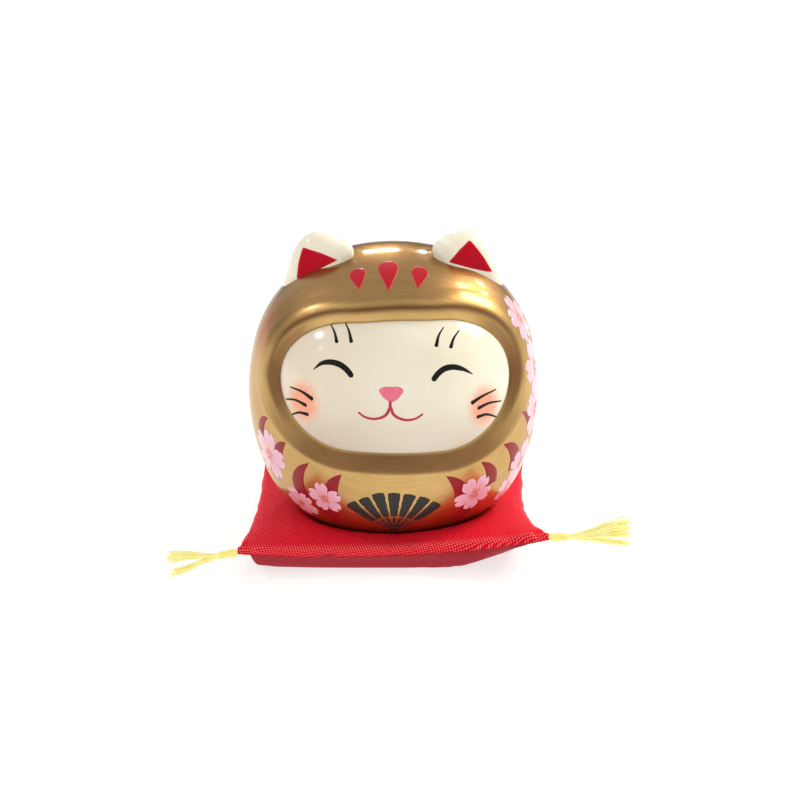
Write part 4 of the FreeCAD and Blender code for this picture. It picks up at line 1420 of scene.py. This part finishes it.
def bunch(pivot, along, across, high, longest, bunches, random):
    """Loose threads that leave the binding together and part into bunches."""
    tubes = []
    share = np.linspace(0, 1, 20)
    column = share[:, None]
    for portion, sideways, upward, spread in bunches:
        for _ in range(round(THREADS * portion)):
            turn, out = random.uniform(0, 2 * math.pi), math.sqrt(random.uniform(0, 1))
            neck = 0.62 * out * np.array([math.cos(turn), math.sin(turn)])
            end = np.array([sideways, upward]) + spread * random.normal(0, 1, 2).clip(-1.8, 1.8)
            length = longest * random.uniform(0.86, 1.0)
            bend = random.normal(0, 0.35, 2)
            wave, phase = random.uniform(0.03, 0.16), random.uniform(0, 2 * math.pi, 2)
            plane = neck * (1 - 0.4 * column) + end * length * smooth(0.08, 1.15, column) * 1.05
            plane = plane + bend * np.sin(math.pi * column) * column
            plane = plane + wave * np.sin(column * random.uniform(5, 10) + phase) * column
            path = pivot + along * (0.7 + column * (length - 0.7))
            path = path + across * plane[:, :1] + high * plane[:, 1:]
            path[:, 2] = np.maximum(path[:, 2], THREAD_RADIUS + 0.15)
            radius = THREAD_RADIUS * np.interp(share, [0, 0.9, 1.0], [1.0, 1.0, 0.75])
            tubes.append(tube(path, radius, sides=6))
    return tubes


def wound(pivot, along, across, high):
    """Binding thread wound round a ball at the corner and on along the neck of the bunch."""
    t = np.linspace(0, 1, BINDING_TURNS * 22)
    reach = -1.15 + 5.0 * t
    radius = np.minimum(1.0 - 0.02 * reach, np.sqrt(np.maximum(1.25**2 - np.minimum(reach, 0.0) ** 2, 0.16)))
    turn = 2 * math.pi * BINDING_TURNS * t
    path = pivot + along * reach[:, None] + across * (radius * np.cos(turn))[:, None]
    path = path + high * (radius * np.sin(turn))[:, None]
    core_reach = np.linspace(-1.1, 3.7, 30)
    core_radius = np.minimum(0.9, np.sqrt(np.maximum(1.15**2 - np.minimum(core_reach, 0.0) ** 2, 0.05)))
    core = pivot + along * core_reach[:, None]
    return [tube(path, BINDING_RADIUS, sides=7), tube(core, core_radius, sides=18)]


STITCHES, FIRST_STITCH, STITCH_PITCH = 9, -11.0, 2.6


def closing_stitches(material):
    """The short row of hand stitches that closes the cushion at the back."""
    tubes = []
    for k in range(STITCHES):
        x = FIRST_STITCH + STITCH_PITCH * k
        y = PAD_Y * (1 - SIDE_SAG_Y * (1 - (x / PAD_X) ** 2))
        t = np.linspace(0, 1, 9)
        path = np.stack([x + 1.5 * t, y - 0.10 + 0.28 * np.sin(math.pi * t), PAD_SEAM - 0.55 + 1.1 * t], 1)
        tubes.append(tube(path, 0.13, sides=6))
    return make_object("closing_stitches", *gather(tubes), material)


# ---- camera, light, floor ------------------------------------------------------------------------

VIEW_RISE = math.radians(16.0)
VIEW_DISTANCE = 420.0
VIEW_TARGET = (1.9, 0.0, EQUATOR - 3.8)
VIEW_FOCAL = 1.75375  # focal length over sensor width


def add_camera():
    data = bpy.data.cameras.new("camera")
    data.sensor_width = 36.0
    data.lens = VIEW_FOCAL * data.sensor_width
    data.clip_start, data.clip_end = 0.01, 20.0
    camera = bpy.data.objects.new("camera", data)
    target = Vector(VIEW_TARGET) * MM
    camera.location = target + Vector((0, -math.cos(VIEW_RISE), math.sin(VIEW_RISE))) * VIEW_DISTANCE * MM
    camera.rotation_euler = (math.pi / 2 - VIEW_RISE, 0, 0)
    bpy.context.scene.collection.objects.link(camera)
    bpy.context.scene.camera = camera


def add_light(name, azimuth, elevation, width, height, radiance, colour, distance=0.9):
    """A soft panel seen from the doll's middle at an azimuth, 0 towards the viewer and + to the right."""
    data = bpy.data.lights.new(name, "AREA")
    data.shape = "RECTANGLE"
    data.size, data.size_y = width, height
    data.energy = radiance * math.pi * width * height
    data.color = colour
    lamp = bpy.data.objects.new(name, data)
    middle = Vector((0, 0, EQUATOR * MM))
    direction = Vector(direction_of(azimuth, elevation))
    lamp.location = middle + direction * distance
    lamp.rotation_euler = (-direction).to_track_quat("-Z", "Y").to_euler()
    bpy.context.scene.collection.objects.link(lamp)


# towards, how far from there the dimming starts and is full (as cosines), and what is left of the light
TENT_DIMS = ((0.0, 38.0, 0.80, 0.95, 0.76), (-105.0, 4.0, 0.70, 0.96, 0.50), (180.0, 8.0, 0.80, 0.97, 0.22))
# azimuth, elevation, width, height, radiance and colour of each lamp
LAMPS = {
    "back_strip": (-176.6, 28.0, 0.12, 0.070, 26.0, (1, 1, 1)),
    "back_spot": (173.0, 27.0, 0.026, 0.026, 85.0, (1, 1, 1)),
    "right_back": (140.0, 31.0, 0.07, 0.07, 16.0, (1.0, 0.96, 0.84)),
    "right_key": (116.0, 40.0, 0.38, 0.34, 14.0, (1.0, 0.94, 0.80)),
    "left_lamp": (-98.0, 40.0, 0.036, 0.042, 240.0, (1, 1, 1)),
    "left_low": (-77.0, 31.0, 0.05, 0.045, 9.0, (1, 1, 1)),
}


def add_world():
    """A pale tent, with a dim stretch in front where the viewer stands, and others on the left and behind."""
    world = bpy.data.worlds.new("tent")
    bpy.context.scene.world = world
    world.use_nodes = True
    nodes, links = world.node_tree.nodes, world.node_tree.links
    place_ = nodes.new("ShaderNodeTexCoord")
    parts = nodes.new("ShaderNodeSeparateXYZ")
    links.new(place_.outputs["Generated"], parts.inputs[0])
    tent = nodes.new("ShaderNodeValToRGB")
    links.new(parts.outputs["Z"], tent.inputs["Fac"])
    for index, (height, level) in enumerate([(0.0, 0.95), (0.15, 0.95), (0.45, 0.92), (1.0, 0.88)]):
        stop = tent.color_ramp.elements[index] if index < 2 else tent.color_ramp.elements.new(height)
        stop.position = height
        stop.color = (level, level * 0.985, level * 0.955, 1)
    colour = tent.outputs["Color"]
    for azimuth, elevation, starts, full, left in TENT_DIMS:
        facing = nodes.new("ShaderNodeVectorMath")
        facing.operation = "DOT_PRODUCT"
        links.new(place_.outputs["Generated"], facing.inputs[0])
        facing.inputs[1].default_value = direction_of(azimuth, elevation).tolist()
        shade = nodes.new("ShaderNodeMapRange")
        shade.interpolation_type = "SMOOTHSTEP"
        links.new(facing.outputs["Value"], shade.inputs["Value"])
        for name, value in (("From Min", starts), ("From Max", full), ("To Min", 1.0), ("To Max", left)):
            shade.inputs[name].default_value = value
        dim = nodes.new("ShaderNodeVectorMath")
        dim.operation = "SCALE"
        links.new(colour, dim.inputs[0])
        links.new(shade.outputs["Result"], dim.inputs["Scale"])
        colour = dim.outputs["Vector"]
    links.new(colour, nodes["Background"].inputs["Color"])
    nodes["Background"].inputs["Strength"].default_value = 1.0


def add_floor():
    """White paper that is lit through from below and curls up at its far edge."""
    n = Nodes("paper")
    fibre = n.noise(900.0, 3.0, 0.6)
    n.set(Base_Color=n.ramp(fibre, (0.3, (0.38, 0.39, 0.39)), (0.7, (0.40, 0.41, 0.41))), Roughness=0.9)
    n.set(Emission_Color=(1.0, 0.995, 0.985, 1.0), Emission_Strength=0.70)
    flat, curl = 1800.0, 260.0
    rise = np.linspace(0, math.pi / 2, 13)[:10]
    radius = np.concatenate([[60.0, 200.0, 600.0], flat + curl * np.sin(rise)])
    height = np.concatenate([[0.0, 0.0, 0.0], curl * (1 - np.cos(rise))])
    faces = [tuple(f) for f in grid_faces(len(radius), 96, True)] + [tuple(range(95, -1, -1))]
    floor = make_object("floor", turned(zip(radius, height), 96), faces, n.material)
    floor.data.flip_normals()


# dark and light colour, roughness, and what else a paint's finish needs
PAINTS = {
    "black_brush": ((0.004, 0.003, 0.002), (0.012, 0.009, 0.007), 0.36, {"shine": 0.12}),
    "fan_ink": ((0.012, 0.012, 0.009), (0.028, 0.027, 0.021), 0.40, {"scale": 1600.0, "shine": 0.25}),
    "ear_red": ((0.44, 0.001, 0.012), (0.52, 0.002, 0.018), 0.34,
                {"edge": (0.62, 0.04, 0.05), "shine": 0.06}),
    "drop_red": ((0.41, 0.003, 0.012), (0.46, 0.005, 0.018), 0.30,
                 {"edge": (0.66, 0.10, 0.07), "shine": 0.14}),
    "leaf_red": ((0.27, 0.006, 0.012), (0.31, 0.010, 0.018), 0.34, {"shine": 0.2}),
    "nose_pink": ((0.80, 0.13, 0.22), (0.86, 0.20, 0.30), 0.20, {}),
    "mouth_crimson": ((0.42, 0.012, 0.030), (0.56, 0.03, 0.06), 0.22, {}),
    "stamen_orange": ((0.80, 0.30, 0.10), (0.88, 0.46, 0.18), 0.3, {}),
    "stamen_red": ((0.50, 0.07, 0.04), (0.62, 0.12, 0.08), 0.3, {}),
}


def main():
    gold, clay = gold_glaze(), bisque()
    white, face_white_shaded = white_glaze("white_glaze"), white_glaze("face_glaze_shaded", cheeks_and_shade=True)
    paints = {name: enamel(name, *basic, **more) for name, (*basic, more) in PAINTS.items()}

    place(gold_shell(gold), "doll", "gold_glaze", "body_shell")
    place(face_plug(face_white_shaded), "doll", "white_glaze", "face_panel")
    place(foot(clay), "doll", "bare_clay", "foot_ring")
    for side, word in ((-1, "left"), (1, "right")):
        ear = Ear(side)
        place(ear.mesh(f"ear_{word}_flap", white), "doll", "white_glaze", f"ear_{word}")
        place(ear.triangle(f"ear_{word}_triangle", paints["ear_red"]), "doll", "white_glaze")
    face_marks(paints["black_brush"], paints["nose_pink"], paints["mouth_crimson"])
    drops(paints["drop_red"])
    leaves(paints["leaf_red"])
    blossoms(petal_print(), paints["stamen_orange"], paints["stamen_red"])
    fan_emblem(paints["fan_ink"])

    red = twill()
    cushion = build_cushion(red)
    place(cushion, "cushion", "red_twill", "cushion_cover_top", "cushion_cover_bottom", "cushion_wadding")
    red_thread = thread("red_thread", (0.50, 0.01, 0.02), (0.72, 0.03, 0.04))
    place(closing_stitches(red_thread), "cushion", "red_twill")
    build_tassels(thread("tassel_floss", (0.93, 0.80, 0.22), (1.0, 0.98, 0.52), painted_glow=0.10),
                  thread("binding", (0.98, 0.82, 0.22), (1.0, 0.92, 0.34), painted_glow=0.08))

    add_floor()
    add_world()
    add_camera()
    for name, lamp in LAMPS.items():
        add_light(name, *lamp)
    bpy.context.scene.view_settings.view_transform = "Standard"


main()
